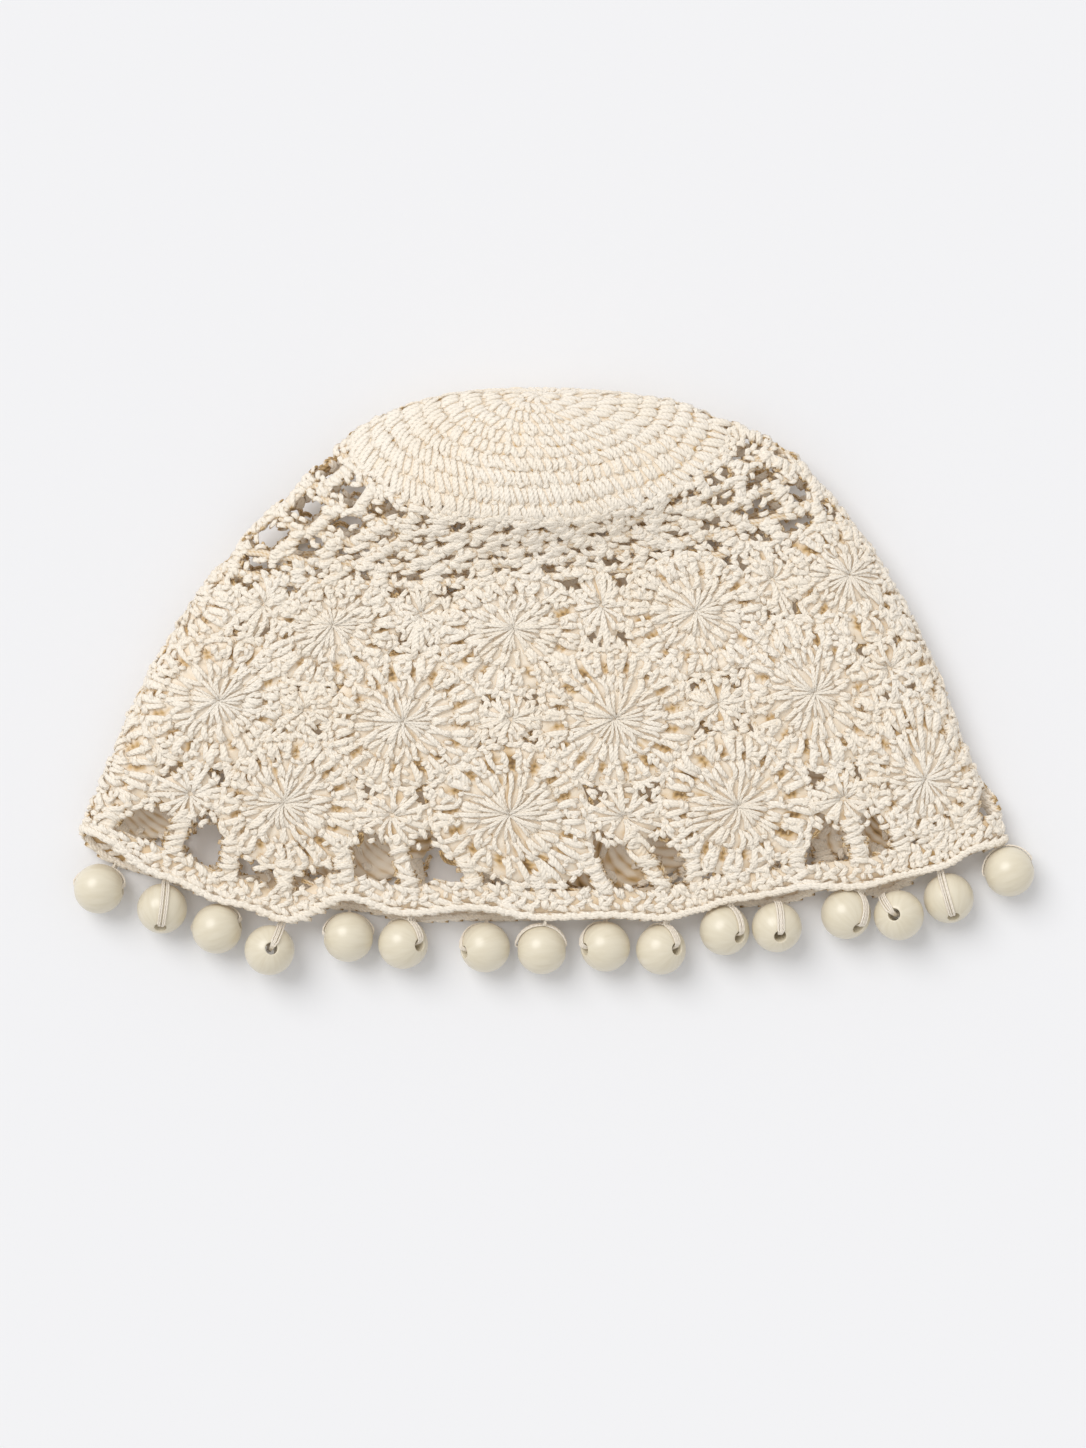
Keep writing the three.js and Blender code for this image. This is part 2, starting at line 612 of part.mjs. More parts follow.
addPiece('crown', crownGeometry(), cottonMaterial);
addPiece('mesh_band', netGeometry(), cottonMaterial);
for (const row of MOTIF_ROWS) {
  for (let motif = 0; motif < HALF_COLUMNS / 2; motif += 1) {
    const column = row.first + 2 * motif;
    const rings = crossesFold(column, row) ? FOLDED_MOTIF_RINGS : MOTIF_RINGS;
    addPiece(`motif_${row.name}_${motif + 1}`, motifGeometry(column, row, rings), cottonMaterial);
  }
}
addPiece('edging', edgingGeometry(), cottonMaterial);
hangBeads().forEach((place, i) => {
  const bead = addPiece(`bead_${i + 1}`, beadGeometry(), beadMaterial);
  bead.position.copy(place.middle);
  bead.quaternion.setFromUnitVectors(new THREE.Vector3(0, 1, 0), place.bore);
  const thread = addPiece(`bead_thread_${i + 1}`, threadGeometry(place), threadMaterial);
  thread.position.copy(place.middle);
});

// The origin lies on the surface, under the middle of the whole cap
const box = new THREE.Box3().setFromObject(nightcap, true);
const centre = box.getCenter(new THREE.Vector3());
nightcap.position.set(-centre.x, -centre.y, -box.min.z);

export default nightcap;
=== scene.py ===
"""Looks of a crocheted cotton nightcap with a beaded rim, worked strand by strand over its frame.

The cap lies flat on its back layer, with the crown at the top of the picture. A place on it is named
by a column (sixteen half motifs round the cap) and a level (rows of motifs from the middle of the
crown), and CapForm lays that place in space as the frame's solids have it. Sizes are millimetres
until a mesh is made, which is in metres.
"""
import logging
import math
from dataclasses import dataclass, field
from enum import Enum

import bpy
import numpy as np
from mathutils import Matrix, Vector


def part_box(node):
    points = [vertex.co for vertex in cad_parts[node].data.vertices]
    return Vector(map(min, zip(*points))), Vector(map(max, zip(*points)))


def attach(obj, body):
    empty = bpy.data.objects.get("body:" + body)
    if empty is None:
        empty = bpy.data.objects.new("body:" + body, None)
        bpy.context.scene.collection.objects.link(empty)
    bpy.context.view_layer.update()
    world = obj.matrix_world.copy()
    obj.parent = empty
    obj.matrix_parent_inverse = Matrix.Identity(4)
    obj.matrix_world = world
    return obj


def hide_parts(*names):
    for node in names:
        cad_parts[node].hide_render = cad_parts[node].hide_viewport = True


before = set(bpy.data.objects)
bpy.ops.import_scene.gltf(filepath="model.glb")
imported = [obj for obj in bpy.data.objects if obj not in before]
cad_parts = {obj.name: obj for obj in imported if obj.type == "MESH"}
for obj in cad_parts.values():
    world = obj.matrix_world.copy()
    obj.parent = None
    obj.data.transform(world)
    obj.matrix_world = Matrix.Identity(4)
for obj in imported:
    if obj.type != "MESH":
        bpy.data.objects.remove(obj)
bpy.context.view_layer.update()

LOG = logging.getLogger("nightcap")
MM = 0.001
TURN = 2.0 * math.pi
BODY = "root"

HALF_COLUMNS = 16
MOTIFS_PER_ROW = 8
BEAD_COUNT = 16
YARN_SIDES = 6
TABLE_GAP = 0.03

SECTION_KEYS = ("level", "left", "right", "left_fold", "right_fold", "front", "back",
                "fold", "rise", "sag", "bend", "round")
SECTIONS = np.array([
    [0.00, 0.000, 0.000, 0.014, 0.014, 0.014, 0.014, 0.433, 0.000, 0.00, 0.400, 0.50],
    [0.45, 0.098, 0.098, 0.010, 0.010, 0.058, -0.002, 0.433, 0.300, 0.70, 0.400, 0.50],
    [0.95, 0.210, 0.210, 0.016, 0.016, 0.112, 0.008, 0.417, 0.467, 0.95, 0.350, 0.50],
    [1.45, 0.314, 0.308, 0.042, 0.031, 0.173, 0.073, 0.400, 0.550, 1.00, 0.250, 0.50],
    [1.90, 0.399, 0.394, 0.081, 0.062, 0.246, 0.169, 0.383, 0.567, 1.00, 0.195, 0.50],
    [2.35, 0.546, 0.531, 0.202, 0.121, 0.296, 0.256, 0.367, 0.400, 1.00, 0.160, 0.60],
    [2.78, 0.674, 0.639, 0.323, 0.225, 0.346, 0.323, 0.333, 0.333, 1.00, 0.130, 0.65],
    [3.40, 0.739, 0.724, 0.396, 0.325, 0.454, 0.448, 0.300, 0.350, 1.00, 0.110, 0.70],
    [4.40, 0.847, 0.834, 0.548, 0.506, 0.635, 0.644, 0.283, 0.350, 1.00, 0.100, 0.70],
    [5.40, 0.931, 0.927, 0.719, 0.712, 0.810, 0.827, 0.250, 0.283, 1.00, 0.085, 0.70],
    [6.20, 0.981, 0.986, 0.817, 0.808, 0.950, 0.964, 0.217, 0.183, 1.00, 0.065, 0.70],
    [6.48, 0.996, 1.000, 0.867, 0.858, 1.000, 1.014, 0.200, 0.150, 1.00, 0.058, 0.70],
    [6.65, 1.000, 1.004, 0.892, 0.883, 1.031, 1.044, 0.200, 0.133, 1.00, 0.052, 0.70],
])
COLUMN_ROWS = {
    "body": np.array([0.267, 0.2025, 0.138, 0.079, 0.032, -0.010, -0.066, -0.131,
                      -0.210, -0.290, -0.355, -0.420, -0.4875, -0.5525, -0.605, -0.6665]),
    "rim": np.array([0.248, 0.183, 0.148, 0.0775, 0.037, 0.0, -0.066, -0.126,
                     -0.216, -0.280, -0.3535, -0.420, -0.478, -0.549, -0.612, -0.6805]),
    "hang": np.array([0.6, 1.0, -0.2, 0.3, 0.2, 0.3, 1.2, 0.2, 0.2, 0.2, 0.0, 1.0, 0.3, 0.2, 2.2, 0.5]),
    "valley": np.array([1.5, 1.5, 0.45, 1.1, 0.6, 0.2, 0.35, 0.5,
                        1.0, 1.6, 1.0, 1.3, -0.5, 2.4, 0.45, 0.75]),
}


def smoothstep(value: np.ndarray, start: float, end: float) -> np.ndarray:
    """Rises smoothly from 0 at start to 1 at end.

    Args:
        value: Numbers to weigh.
        start: Where the rise begins.
        end: Where it ends.

    Returns:
        Weights from 0 to 1.
    """
    share = np.clip((value - start) / (end - start), 0.0, 1.0)
    return share * share * (3.0 - 2.0 * share)


def painted_shade_by_height(height: np.ndarray) -> np.ndarray:
    """Returns the painted shade of yarn at a height over the middle surface: darker low down, and darker and
    golden on the inner face, which lies in shade.
    """
    return smoothstep(np.abs(height), -0.1, 1.25) * np.where(height < 0.0, 0.78, 1.0)


def places(column: np.ndarray, level: np.ndarray) -> np.ndarray:
    """Returns columns and levels joined on a last axis of length two."""
    return np.stack(np.broadcast_arrays(column, level), axis=-1)


def unit(vectors: np.ndarray) -> np.ndarray:
    """Returns the vectors at length one."""
    return vectors / np.maximum(np.linalg.norm(vectors, axis=-1, keepdims=True), 1e-9)


@dataclass(frozen=True)
class CapForm:
    """The lying cap's middle surface, in millimetres, in the frame's own place."""

    width: float = 277.0
    depth: float = 156.0
    loft: float = 30.0
    fabric: float = 3.0
    domed_share: float = 0.3
    crown_turn: float = 0.275
    shift: tuple = (0.0, 0.0)

    def section(self, key: str, level: np.ndarray) -> np.ndarray:
        """Reads one key of the section table at any level.

        Args:
            key: Name of the table's column.
            level: Levels to read it at.

        Returns:
            Values, smooth through the rows and straight past the last.
        """
        rows = SECTIONS[:, 0]
        values = SECTIONS[:, SECTION_KEYS.index(key)]
        before = np.maximum(np.arange(len(rows)) - 1, 0)
        after = np.minimum(np.arange(len(rows)) + 1, len(rows) - 1)
        slopes = (values[after] - values[before]) / (rows[after] - rows[before])
        at = np.clip(np.searchsorted(rows, level, side="right") - 1, 0, len(rows) - 2)
        span = rows[at + 1] - rows[at]
        t = (level - rows[at]) / span
        rise = t * t * (3.0 - 2.0 * t)
        leave = t * (1.0 - t) ** 2 * span * slopes[at]
        arrive = t * t * (t - 1.0) * span * slopes[at + 1]
        smooth = values[at] * (1.0 - rise) + values[at + 1] * rise + leave + arrive
        straight = values[at + 1] + (level - rows[at + 1]) * slopes[at + 1]
        return np.where(t > 1.0, straight, smooth)

    def column(self, key: str, column: np.ndarray, turns: float = 1.0) -> np.ndarray:
        """Reads one row of the column table at any column.

        Args:
            key: Name of the row.
            column: Columns to read it at.
            turns: How much the value falls once round the cap.

        Returns:
            Values, smooth and periodic round the cap.
        """
        index = np.floor(column).astype(int)
        t = column - index

        def value(position: np.ndarray) -> np.ndarray:
            """Returns the table's value at whole columns."""
            wrap = np.floor_divide(position, HALF_COLUMNS)
            return COLUMN_ROWS[key][position - wrap * HALF_COLUMNS] - wrap * turns

        a, b, c, d = (value(index + step) for step in (-1, 0, 1, 2))
        rise = t * t * (3.0 - 2.0 * t)
        leave = t * (1.0 - t) ** 2 * (c - a) / 2.0
        arrive = t * t * (t - 1.0) * (d - b) / 2.0
        return b * (1.0 - rise) + c * rise + leave + arrive

    def turn(self, column: np.ndarray, level: np.ndarray) -> np.ndarray:
        """Returns the turn round the cap, where 0 is the right fold and half the left."""
        even = self.crown_turn - column / HALF_COLUMNS
        body = even + (self.column("body", column) - even) * smoothstep(level, 1.9, 3.2)
        return body + (self.column("rim", column) - body) * smoothstep(level, 5.4, 6.48)

    def point(self, column: np.ndarray, level: np.ndarray) -> np.ndarray:
        """Lays places of the fabric in space.

        Args:
            column: Columns round the cap.
            level: Levels down the cap, of the same shape.

        Returns:
            Points of the middle surface, with one more axis of length three.
        """
        half = self.width / 2.0
        left, right = self.section("left", level), self.section("right", level)
        width = np.maximum((left + right) / 2.0, 0.0) * half
        middle = (right - left) / 2.0 * half
        bend = np.minimum(self.section("bend", level) * half, width)
        fold = self.section("fold", level) * self.loft
        rise = self.section("rise", level) * self.loft
        sag = np.minimum(self.section("sag", level), 1.0)
        turn = np.mod(self.turn(column, level), 1.0)
        front = turn < 0.5
        depth = np.where(front, rise * (1.0 - self.domed_share), (fold - self.fabric / 2.0) * sag)
        quarter = math.pi / 2.0 * np.sqrt((bend * bend + depth * depth) / 2.0)
        girth = 2.0 * (width - bend) + 2.0 * quarter
        along = np.where(front, turn, 1.0 - turn) * 2.0 * girth
        side = np.where(along < girth / 2.0, 1.0, -1.0)
        near = np.where(side > 0, along, girth - along)
        angle = np.minimum(near / np.maximum(quarter, 1e-9), 1.0) * math.pi / 2.0
        x = side * (width - bend + bend * np.cos(angle) - np.maximum(near - quarter, 0.0))
        share = x / np.maximum(width, 1e-9)
        crest = np.maximum(1.0 - share * share, 0.0)
        left_fold, right_fold = self.section("left_fold", level), self.section("right_fold", level)
        fold_line = left_fold + (right_fold - left_fold) * (share + 1.0) / 2.0
        face = np.where(front, self.section("front", level), self.section("back", level))
        face = face - (left_fold + right_fold) / 2.0
        down = fold_line + face * np.power(crest, self.section("round", level))
        lift = depth * np.sin(angle)
        z = np.where(front, fold + lift + rise * self.domed_share * crest, fold - lift)
        return np.stack([middle + x + self.shift[0], -down * self.depth + self.shift[1], z], axis=-1)

    def surface(self, column: np.ndarray, level: np.ndarray) -> tuple:
        """Gives points of the middle surface with the directions there.

        Args:
            column: Columns round the cap.
            level: Levels down the cap, of the same shape.

        Returns:
            Points, outward normals, and the ways across and down the fabric.
        """
        step = 0.01
        safe = np.maximum(level, 0.05)
        down = self.point(column, safe + step) - self.point(column, safe - step)
        across = self.point(column + step, safe) - self.point(column - step, safe)
        return self.point(column, level), unit(np.cross(down, across)), unit(across), unit(down)

    def spacing(self, column: np.ndarray, level: np.ndarray) -> tuple:
        """Returns how many millimetres one column and one level are at places of the fabric."""
        step = 0.02
        across = self.point(column + step, level) - self.point(column - step, level)
        down = self.point(column, level + step) - self.point(column, level - step)
        return np.linalg.norm(across, axis=-1) / step / 2.0, np.linalg.norm(down, axis=-1) / step / 2.0


@dataclass(frozen=True)
class Stroke:
    """How a long strand rises and thickens from its foot to its head, and how much chance it takes."""

    lifts: tuple
    radii: tuple
    scatter: float = 1.0


@dataclass(frozen=True)
class Arch:
    """A short bowed strand: its length, its yarn's radius and how high its middle stands."""

    length: float
    yarn: float
    lift: float


POST = Stroke((0.2, 0.3, 0.3, 0.3, 0.2), (2.1, 1.8, 1.7, 1.8, 2.1), 1.5)
BAR = Stroke((0.0, 0.0, 0.0, 0.0, 0.0), (2.6, 2.2, 2.1, 2.2, 2.6))
SPOKE = Stroke((0.9, 1.1, 1.4, 1.2, 0.3), (0.32, 0.45, 0.6, 0.68, 0.5), 2.2)
PAIR = Stroke((0.3, 0.95, 1.3, 1.1, 0.3), (0.5, 0.7, 0.8, 0.82, 0.6), 2.6)
PUFF = Stroke((0.3, 0.8, 1.15, 1.0, 0.3), (0.7, 0.95, 1.15, 1.1, 0.7), 1.8)
INNER_SPOKE = Stroke((-0.5, -0.85, -0.95, -0.4), (0.5, 0.9, 1.1, 0.8))
PETAL = Stroke((0.6, 0.95, 1.15, 0.9, 0.35), (0.4, 0.65, 0.85, 0.85, 0.65), 2.2)
INNER_PETAL = Stroke((-0.3, -0.8, -0.9, -0.3), (0.8, 1.3, 1.5, 1.0), 1.3)
RIM_LOOP = Arch(3.4, 0.95, 1.0)
CROSSING = Arch(2.4, 0.8, 0.95)
POST_LOOP = Arch(3.2, 0.92, 1.2)
KNOT = Arch(2.5, 0.72, 1.6)
EDGE_LOOP = Arch(3.2, 0.95, 0.8)
INNER_EDGE_LOOP = Arch(4.4, 1.0, -0.7)
INNER_LOOP = Arch(3.8, 1.05, -1.15)
BORDER_LOOP = Arch(3.0, 0.84, 1.35)


class YarnWork:
    """Collects strands of yarn and sheets under them, and makes them one mesh."""

    def __init__(self, form: CapForm, seed: int) -> None:
        """Starts an empty piece of work on the cap's form with its own seed."""
        self.form = form
        self.random = np.random.RandomState(seed)
        self.points: list = []
        self.shades: list = []
        self.tones: list = []
        self.loops: list = []
        self.counts: list = []
        self.maps: list = []
        self.total = 0

    def spread(self, count: int, chance: float) -> np.ndarray:
        """Returns columns evenly round the cap, each off its place by up to a share of their step."""
        return (np.arange(count) + self.random.uniform(-chance, chance, count)) * HALF_COLUMNS / count

    def angles(self, count: int, chance: float) -> np.ndarray:
        """Returns angles evenly round a turn, each off its place by chance, in radians."""
        return np.arange(count) * TURN / count + self.random.normal(0.0, chance, count)

    def rings(self, points: np.ndarray, shade: np.ndarray, lengths: np.ndarray, closed: bool) -> None:
        """Adds surfaces made of rings, each ring joined to the next.

        Args:
            points: Places of shape (strands, rings, sides, 3).
            shade: How open to the light each point is, of shape (strands, rings, sides).
            lengths: Way along the strand of each ring, of shape (strands, rings).
            closed: True where the last ring joins the first, and otherwise both ends are capped.
        """
        strands, rings, sides = shade.shape
        tone = np.broadcast_to(self.random.uniform(-1.0, 1.0, (strands, 1, 1)), shade.shape)
        base = self.total + np.arange(strands)[:, None, None] * rings * sides
        ring = np.arange(rings if closed else rings - 1)[None, :, None]
        side = np.arange(sides)[None, None, :]
        after, beside = (ring + 1) % rings, (side + 1) % sides
        corners = [base + ring * sides + side, base + after * sides + side,
                   base + after * sides + beside, base + ring * sides + beside]
        quads = np.stack(np.broadcast_arrays(*corners), axis=-1).reshape(-1, 4)
        way = lengths[:, :, None]
        step = np.concatenate([lengths[:, 1:], lengths[:, -1:] + 1.0], axis=1)[:, :, None]
        if not closed:
            way, step = way[:, :-1], step[:, :-1]
        u = np.stack(np.broadcast_arrays(way, step, step, way + 0.0 * side), axis=-1).reshape(-1, 4)
        turn = (side + 0.5) / sides + 0.0 * way
        v = np.stack([turn, turn, turn + 1.0 / sides, turn + 1.0 / sides], axis=-1).reshape(-1, 4)
        rested = points.reshape(-1, 3).copy()
        rested[:, 2] = np.maximum(rested[:, 2], TABLE_GAP)
        self.points.append(rested)
        self.shades.append(shade.reshape(-1))
        self.tones.append(tone.reshape(-1))
        self.loops.append(quads.reshape(-1))
        self.counts.append(np.full(len(quads), 4))
        self.maps.append(np.stack([u.reshape(-1), v.reshape(-1)], axis=-1))
        if not closed:
            flat = base[:, 0] + np.arange(sides)[None, :]
            last = flat[:, ::-1] + (rings - 1) * sides
            ends = np.concatenate([flat, last])
            self.loops.append(ends.reshape(-1))
            self.counts.append(np.full(len(ends), sides))
            self.maps.append(np.zeros((ends.size, 2)))
        self.total += shade.size

    def tube(self, path: np.ndarray, up: np.ndarray, radius: np.ndarray, shade_of: object,
             closed: bool = False, flat: float = 0.66, groove: float = 0.6) -> None:
        """Adds tubes along paths in space.

        Args:
            path: Middles of shape (strands, rings, 3).
            up: A direction across each path, of the same shape.
            radius: Radii of shape (strands, rings).
            shade_of: Function from points of shape (strands, rings, sides, 3) to their shades.
            closed: True where each path is a loop.
            flat: Height of the section as a share of its width.
            groove: Reach of the section at its top and bottom, below one where two yarns lie together.
        """
        if closed:
            tangent = np.roll(path, -1, axis=1) - np.roll(path, 1, axis=1)
        else:
            tangent = np.gradient(path, axis=1)
        tangent = unit(tangent)
        across = unit(np.cross(tangent, up))
        lift = np.cross(across, tangent)
        angle = (np.arange(YARN_SIDES) + 0.5) * TURN / YARN_SIDES
        dip = np.where(np.abs(np.cos(angle)) < 0.1, groove, 1.0)[None, None, :, None]
        reach = radius[:, :, None, None] * dip
        points = path[:, :, None] + reach * (
            np.cos(angle)[None, None, :, None] * across[:, :, None]
            + flat * np.sin(angle)[None, None, :, None] * lift[:, :, None])
        steps = np.linalg.norm(np.diff(path, axis=1), axis=-1)
        lengths = np.concatenate([np.zeros((len(path), 1)), np.cumsum(steps, axis=1)], axis=1)
        self.rings(points, shade_of(points), lengths, closed)

    @staticmethod
    def over(centre: np.ndarray, normal: np.ndarray) -> object:
        """Returns a function that gives the painted shade of points from their height over the fabric."""
        return lambda points: painted_shade_by_height(np.sum((points - centre) * normal, axis=-1))

    def lay(self, column: np.ndarray, level: np.ndarray, lift: np.ndarray, radius: np.ndarray,
            closed: bool = False) -> None:
        """Adds strands that lie on the cap's fabric.

        Args:
            column: Columns of shape (strands, rings).
            level: Levels of the same shape.
            lift: Heights over the middle surface, of the same shape.
            radius: Yarn radii, of the same shape.
            closed: True where each strand is a loop.
        """
        column, level, lift, radius = np.broadcast_arrays(column, level, lift, radius)
        centre, normal, _, _ = self.form.surface(column, level)
        shade_of = self.over(centre[:, :, None], normal[:, :, None])
        self.tube(centre + normal * lift[..., None], normal, radius, shade_of, closed)

    def strand(self, start: np.ndarray, end: np.ndarray, stroke: Stroke) -> None:
        """Adds strands from place to place, each a little different from the next.

        Args:
            start: Columns and levels of shape (strands, 2).
            end: The same for the other ends.
            stroke: Their heights and radii.
        """
        count, rings = len(start), len(stroke.lifts)
        share = np.linspace(0.0, 1.0, rings)[None, :]
        place = start[:, None, :] + (end - start)[:, None, :] * share[..., None]
        chance = stroke.scatter * self.random.normal(0.0, 1.0, (4, count, 1))
        column = place[..., 0] + np.sin(share * math.pi) * 0.012 * chance[0] + 0.004 * chance[1]
        lift = np.array(stroke.lifts)[None, :] + 0.1 * chance[2]
        radius = np.array(stroke.radii)[None, :] * (1.0 + 0.07 * chance[3])
        self.lay(column, place[..., 1], lift, radius)

    def arches(self, place: np.ndarray, arch: Arch, heading: np.ndarray) -> None:
        """Adds short bowed strands that rise out of the fabric and dive back into it.

        Args:
            place: Columns and levels of their middles, of shape (strands, 2).
            arch: Their size, with a lift below zero on the inner face.
            heading: Ways that they run, in radians from the way across towards the way up.
        """
        count = len(place)
        random = self.random
        centre, normal, across, down = self.form.surface(place[:, 0], place[:, 1])
        turn = heading[:, None]
        first = np.cos(turn) * across - np.sin(turn) * down
        second = np.cross(normal, first)
        share = np.linspace(0.0, 1.0, 5)[None, :]
        bow = np.sin(math.pi * share)
        along = arch.length * random.uniform(0.8, 1.25, (count, 1)) * (share - 0.5)
        aside = arch.length * random.normal(0.0, 0.16, (count, 1)) * bow
        rise = 1.12 * np.sqrt(np.maximum(bow, 0.0)) - 0.12
        height = arch.lift * random.uniform(0.8, 1.15, (count, 1)) * rise
        path = (centre[:, None] + first[:, None] * along[..., None] + second[:, None] * aside[..., None]
                + normal[:, None] * height[..., None])
        radius = arch.yarn * random.uniform(0.88, 1.12, (count, 1)) * (0.72 + 0.28 * bow)
        shade_of = self.over(centre[:, None, None], normal[:, None, None])
        self.tube(path, np.broadcast_to(normal[:, None], path.shape), radius, shade_of)

    def wrap(self, start: np.ndarray, end: np.ndarray, width: float, yarn: float, pitch: float) -> None:
        """Winds yarn round bars that run down the fabric, with every second turn at their back.

        Args:
            start: Columns and levels of the bars' upper ends, of shape (bars, 2).
            end: The same for their lower ends.
            width: Width of a bar.
            yarn: Radius of its yarn.
            pitch: Way from one turn to the next.
        """
        way = self.form.point(end[:, 0], end[:, 1]) - self.form.point(start[:, 0], start[:, 1])
        turns = np.maximum(np.round(np.linalg.norm(way, axis=-1) / pitch).astype(int), 1)
        bar = np.repeat(np.arange(len(start)), turns)
        first = np.cumsum(turns) - turns
        number = np.arange(len(bar)) - first[bar] + self.random.uniform(0.25, 0.75, len(bar))
        place = start[bar] + (end - start)[bar] * (number / turns[bar])[:, None]
        heading = self.random.normal(0.25, 0.35, len(bar))
        self.arches(place, Arch(width, yarn, 1.4), heading)
        self.arches(place[::2], Arch(width, 1.3 * yarn, -1.1), heading[::2])

    def sheet(self, column: np.ndarray, level: np.ndarray, lift: np.ndarray, shade: np.ndarray,
              closed: bool = False) -> None:
        """Adds one closed skin from rings of places, such as a disc with both its sides.

        Args:
            column: Columns of shape (rings, sides), anticlockwise seen from outside.
            level: Levels of the same shape.
            lift: Heights of the same shape.
            shade: Painted shade of the skin, how light it is, of the same shape.
            closed: True where the last ring joins the first.
        """
        column, level, lift, shade = np.broadcast_arrays(column, level, lift, shade)
        centre, normal, _, _ = self.form.surface(column, level)
        points = centre + normal * lift[..., None]
        lengths = np.arange(len(column))[None, :] * 1.0
        self.rings(points[None], shade[None], lengths, closed)

    def finish(self, name: str, nodes: tuple, slot: str, material: bpy.types.Material) -> bpy.types.Object:
        """Makes the collected work one object that stands for its nodes.

        Args:
            name: Name of the new piece.
            nodes: Nodes of the frame that it replaces.
            slot: Its slot name, which is not used.
            material: Its finish.

        Returns:
            The finished object.
        """
        mesh = bpy.data.meshes.new(name)
        points = np.concatenate(self.points) * MM
        loops = np.concatenate(self.loops)
        counts = np.concatenate(self.counts)
        starts = np.concatenate([[0], np.cumsum(counts)[:-1]])
        mesh.vertices.add(len(points))
        mesh.loops.add(len(loops))
        mesh.polygons.add(len(counts))
        mesh.vertices.foreach_set("co", points.astype(np.float32).reshape(-1))
        mesh.loops.foreach_set("vertex_index", loops.astype(np.int32))
        mesh.polygons.foreach_set("loop_start", starts.astype(np.int32))
        mesh.polygons.foreach_set("use_smooth", np.ones(len(counts), dtype=bool))
        mesh.update(calc_edges=True)
        layer = mesh.uv_layers.new(name="yarn")
        layer.data.foreach_set("uv", np.concatenate(self.maps).astype(np.float32).reshape(-1))
        for key, values in (("shade", self.shades), ("tone", self.tones)):
            attribute = mesh.attributes.new(key, "FLOAT", "POINT")
            attribute.data.foreach_set("value", np.concatenate(values).astype(np.float32))
        mesh.materials.append(material)
        piece = bpy.data.objects.new(name, mesh)
        bpy.context.scene.collection.objects.link(piece)
        dress(piece, nodes)
        LOG.info("%s: %d triangles", name, int(np.sum(counts - 2)))
        return piece


def dress(piece: bpy.types.Object, nodes: tuple) -> None:
    """Lets a finished piece ride on the cap and stand for its nodes, which it hides.

    Args:
        piece: The finished object.
        nodes: Nodes of the frame that it replaces.
    """
    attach(piece, BODY)
    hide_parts(*nodes)


class NodeSheet:
    """Short ways to write a material's nodes."""

    def __init__(self, name: str) -> None:
        """Starts a new material with a Principled shader on its output."""
        self.material = bpy.data.materials.new(name)
        self.material.use_nodes = True
        self.tree = self.material.node_tree

    def feed(self, socket: bpy.types.NodeSocket, value: object) -> None:
        """Links a socket to another one's result, or gives it a plain value."""
        if isinstance(value, bpy.types.NodeSocket):
            self.tree.links.new(value, socket)
        else:
            socket.default_value = value

    def add(self, kind: str, **settings: object) -> bpy.types.Node:
        """Adds a node and sets its properties and, where a key names an input, its input.

        Args:
            kind: The node's type.
            settings: Properties of the node, or inputs by name with spaces as underscores.

        Returns:
            The new node.
        """
        node = self.tree.nodes.new(kind)
        for key, value in settings.items():
            if hasattr(node, key):
                setattr(node, key, value)
            else:
                self.feed(node.inputs[key.replace("_", " ")], value)
        return node

    def surface(self, **settings: object) -> bpy.types.Material:
        """Sets the shader's inputs by name, with spaces as underscores, and returns the material."""
        for key, value in settings.items():
            self.feed(self.tree.nodes["Principled BSDF"].inputs[key.replace("_", " ")], value)
        return self.material

    def math(self, operation: str, first: object, second: object = 0.0) -> bpy.types.NodeSocket:
        """Adds a Math node on two numbers or sockets and returns its result."""
        node = self.add("ShaderNodeMath", operation=operation)
        self.feed(node.inputs[0], first)
        self.feed(node.inputs[1], second)
        return node.outputs[0]

    def ramp(self, factor: bpy.types.NodeSocket, stops: dict) -> bpy.types.NodeSocket:
        """Adds a colour ramp with colours by their positions and returns its colour."""
        node = self.add("ShaderNodeValToRGB")
        elements = node.color_ramp.elements
        for index, (position, colour) in enumerate(sorted(stops.items())):
            stop = elements[index] if index < 2 else elements.new(position)
            stop.position, stop.color = position, colour
        self.feed(node.inputs["Fac"], factor)
        return node.outputs["Color"]

    def mix(self, factor: object, first: object, second: object, blend: str = "MIX") -> bpy.types.NodeSocket:
        """Adds a colour mix and returns its result."""
        node = self.add("ShaderNodeMix", data_type="RGBA", blend_type=blend)
        for key, value in (("Factor", factor), ("A", first), ("B", second)):
            self.feed(node.inputs[key], value)
        return node.outputs["Result"]

    def read(self, attribute: str) -> bpy.types.NodeSocket:
        """Returns one of the mesh's own numbers."""
        return self.add("ShaderNodeAttribute", attribute_name=attribute).outputs["Fac"]

    def bump(self, height: bpy.types.NodeSocket, strength: float, distance: float) -> bpy.types.NodeSocket:
        """Returns normals bumped by a height."""
        node = self.add("ShaderNodeBump", Height=height, Strength=strength, Distance=distance)
        return node.outputs["Normal"]


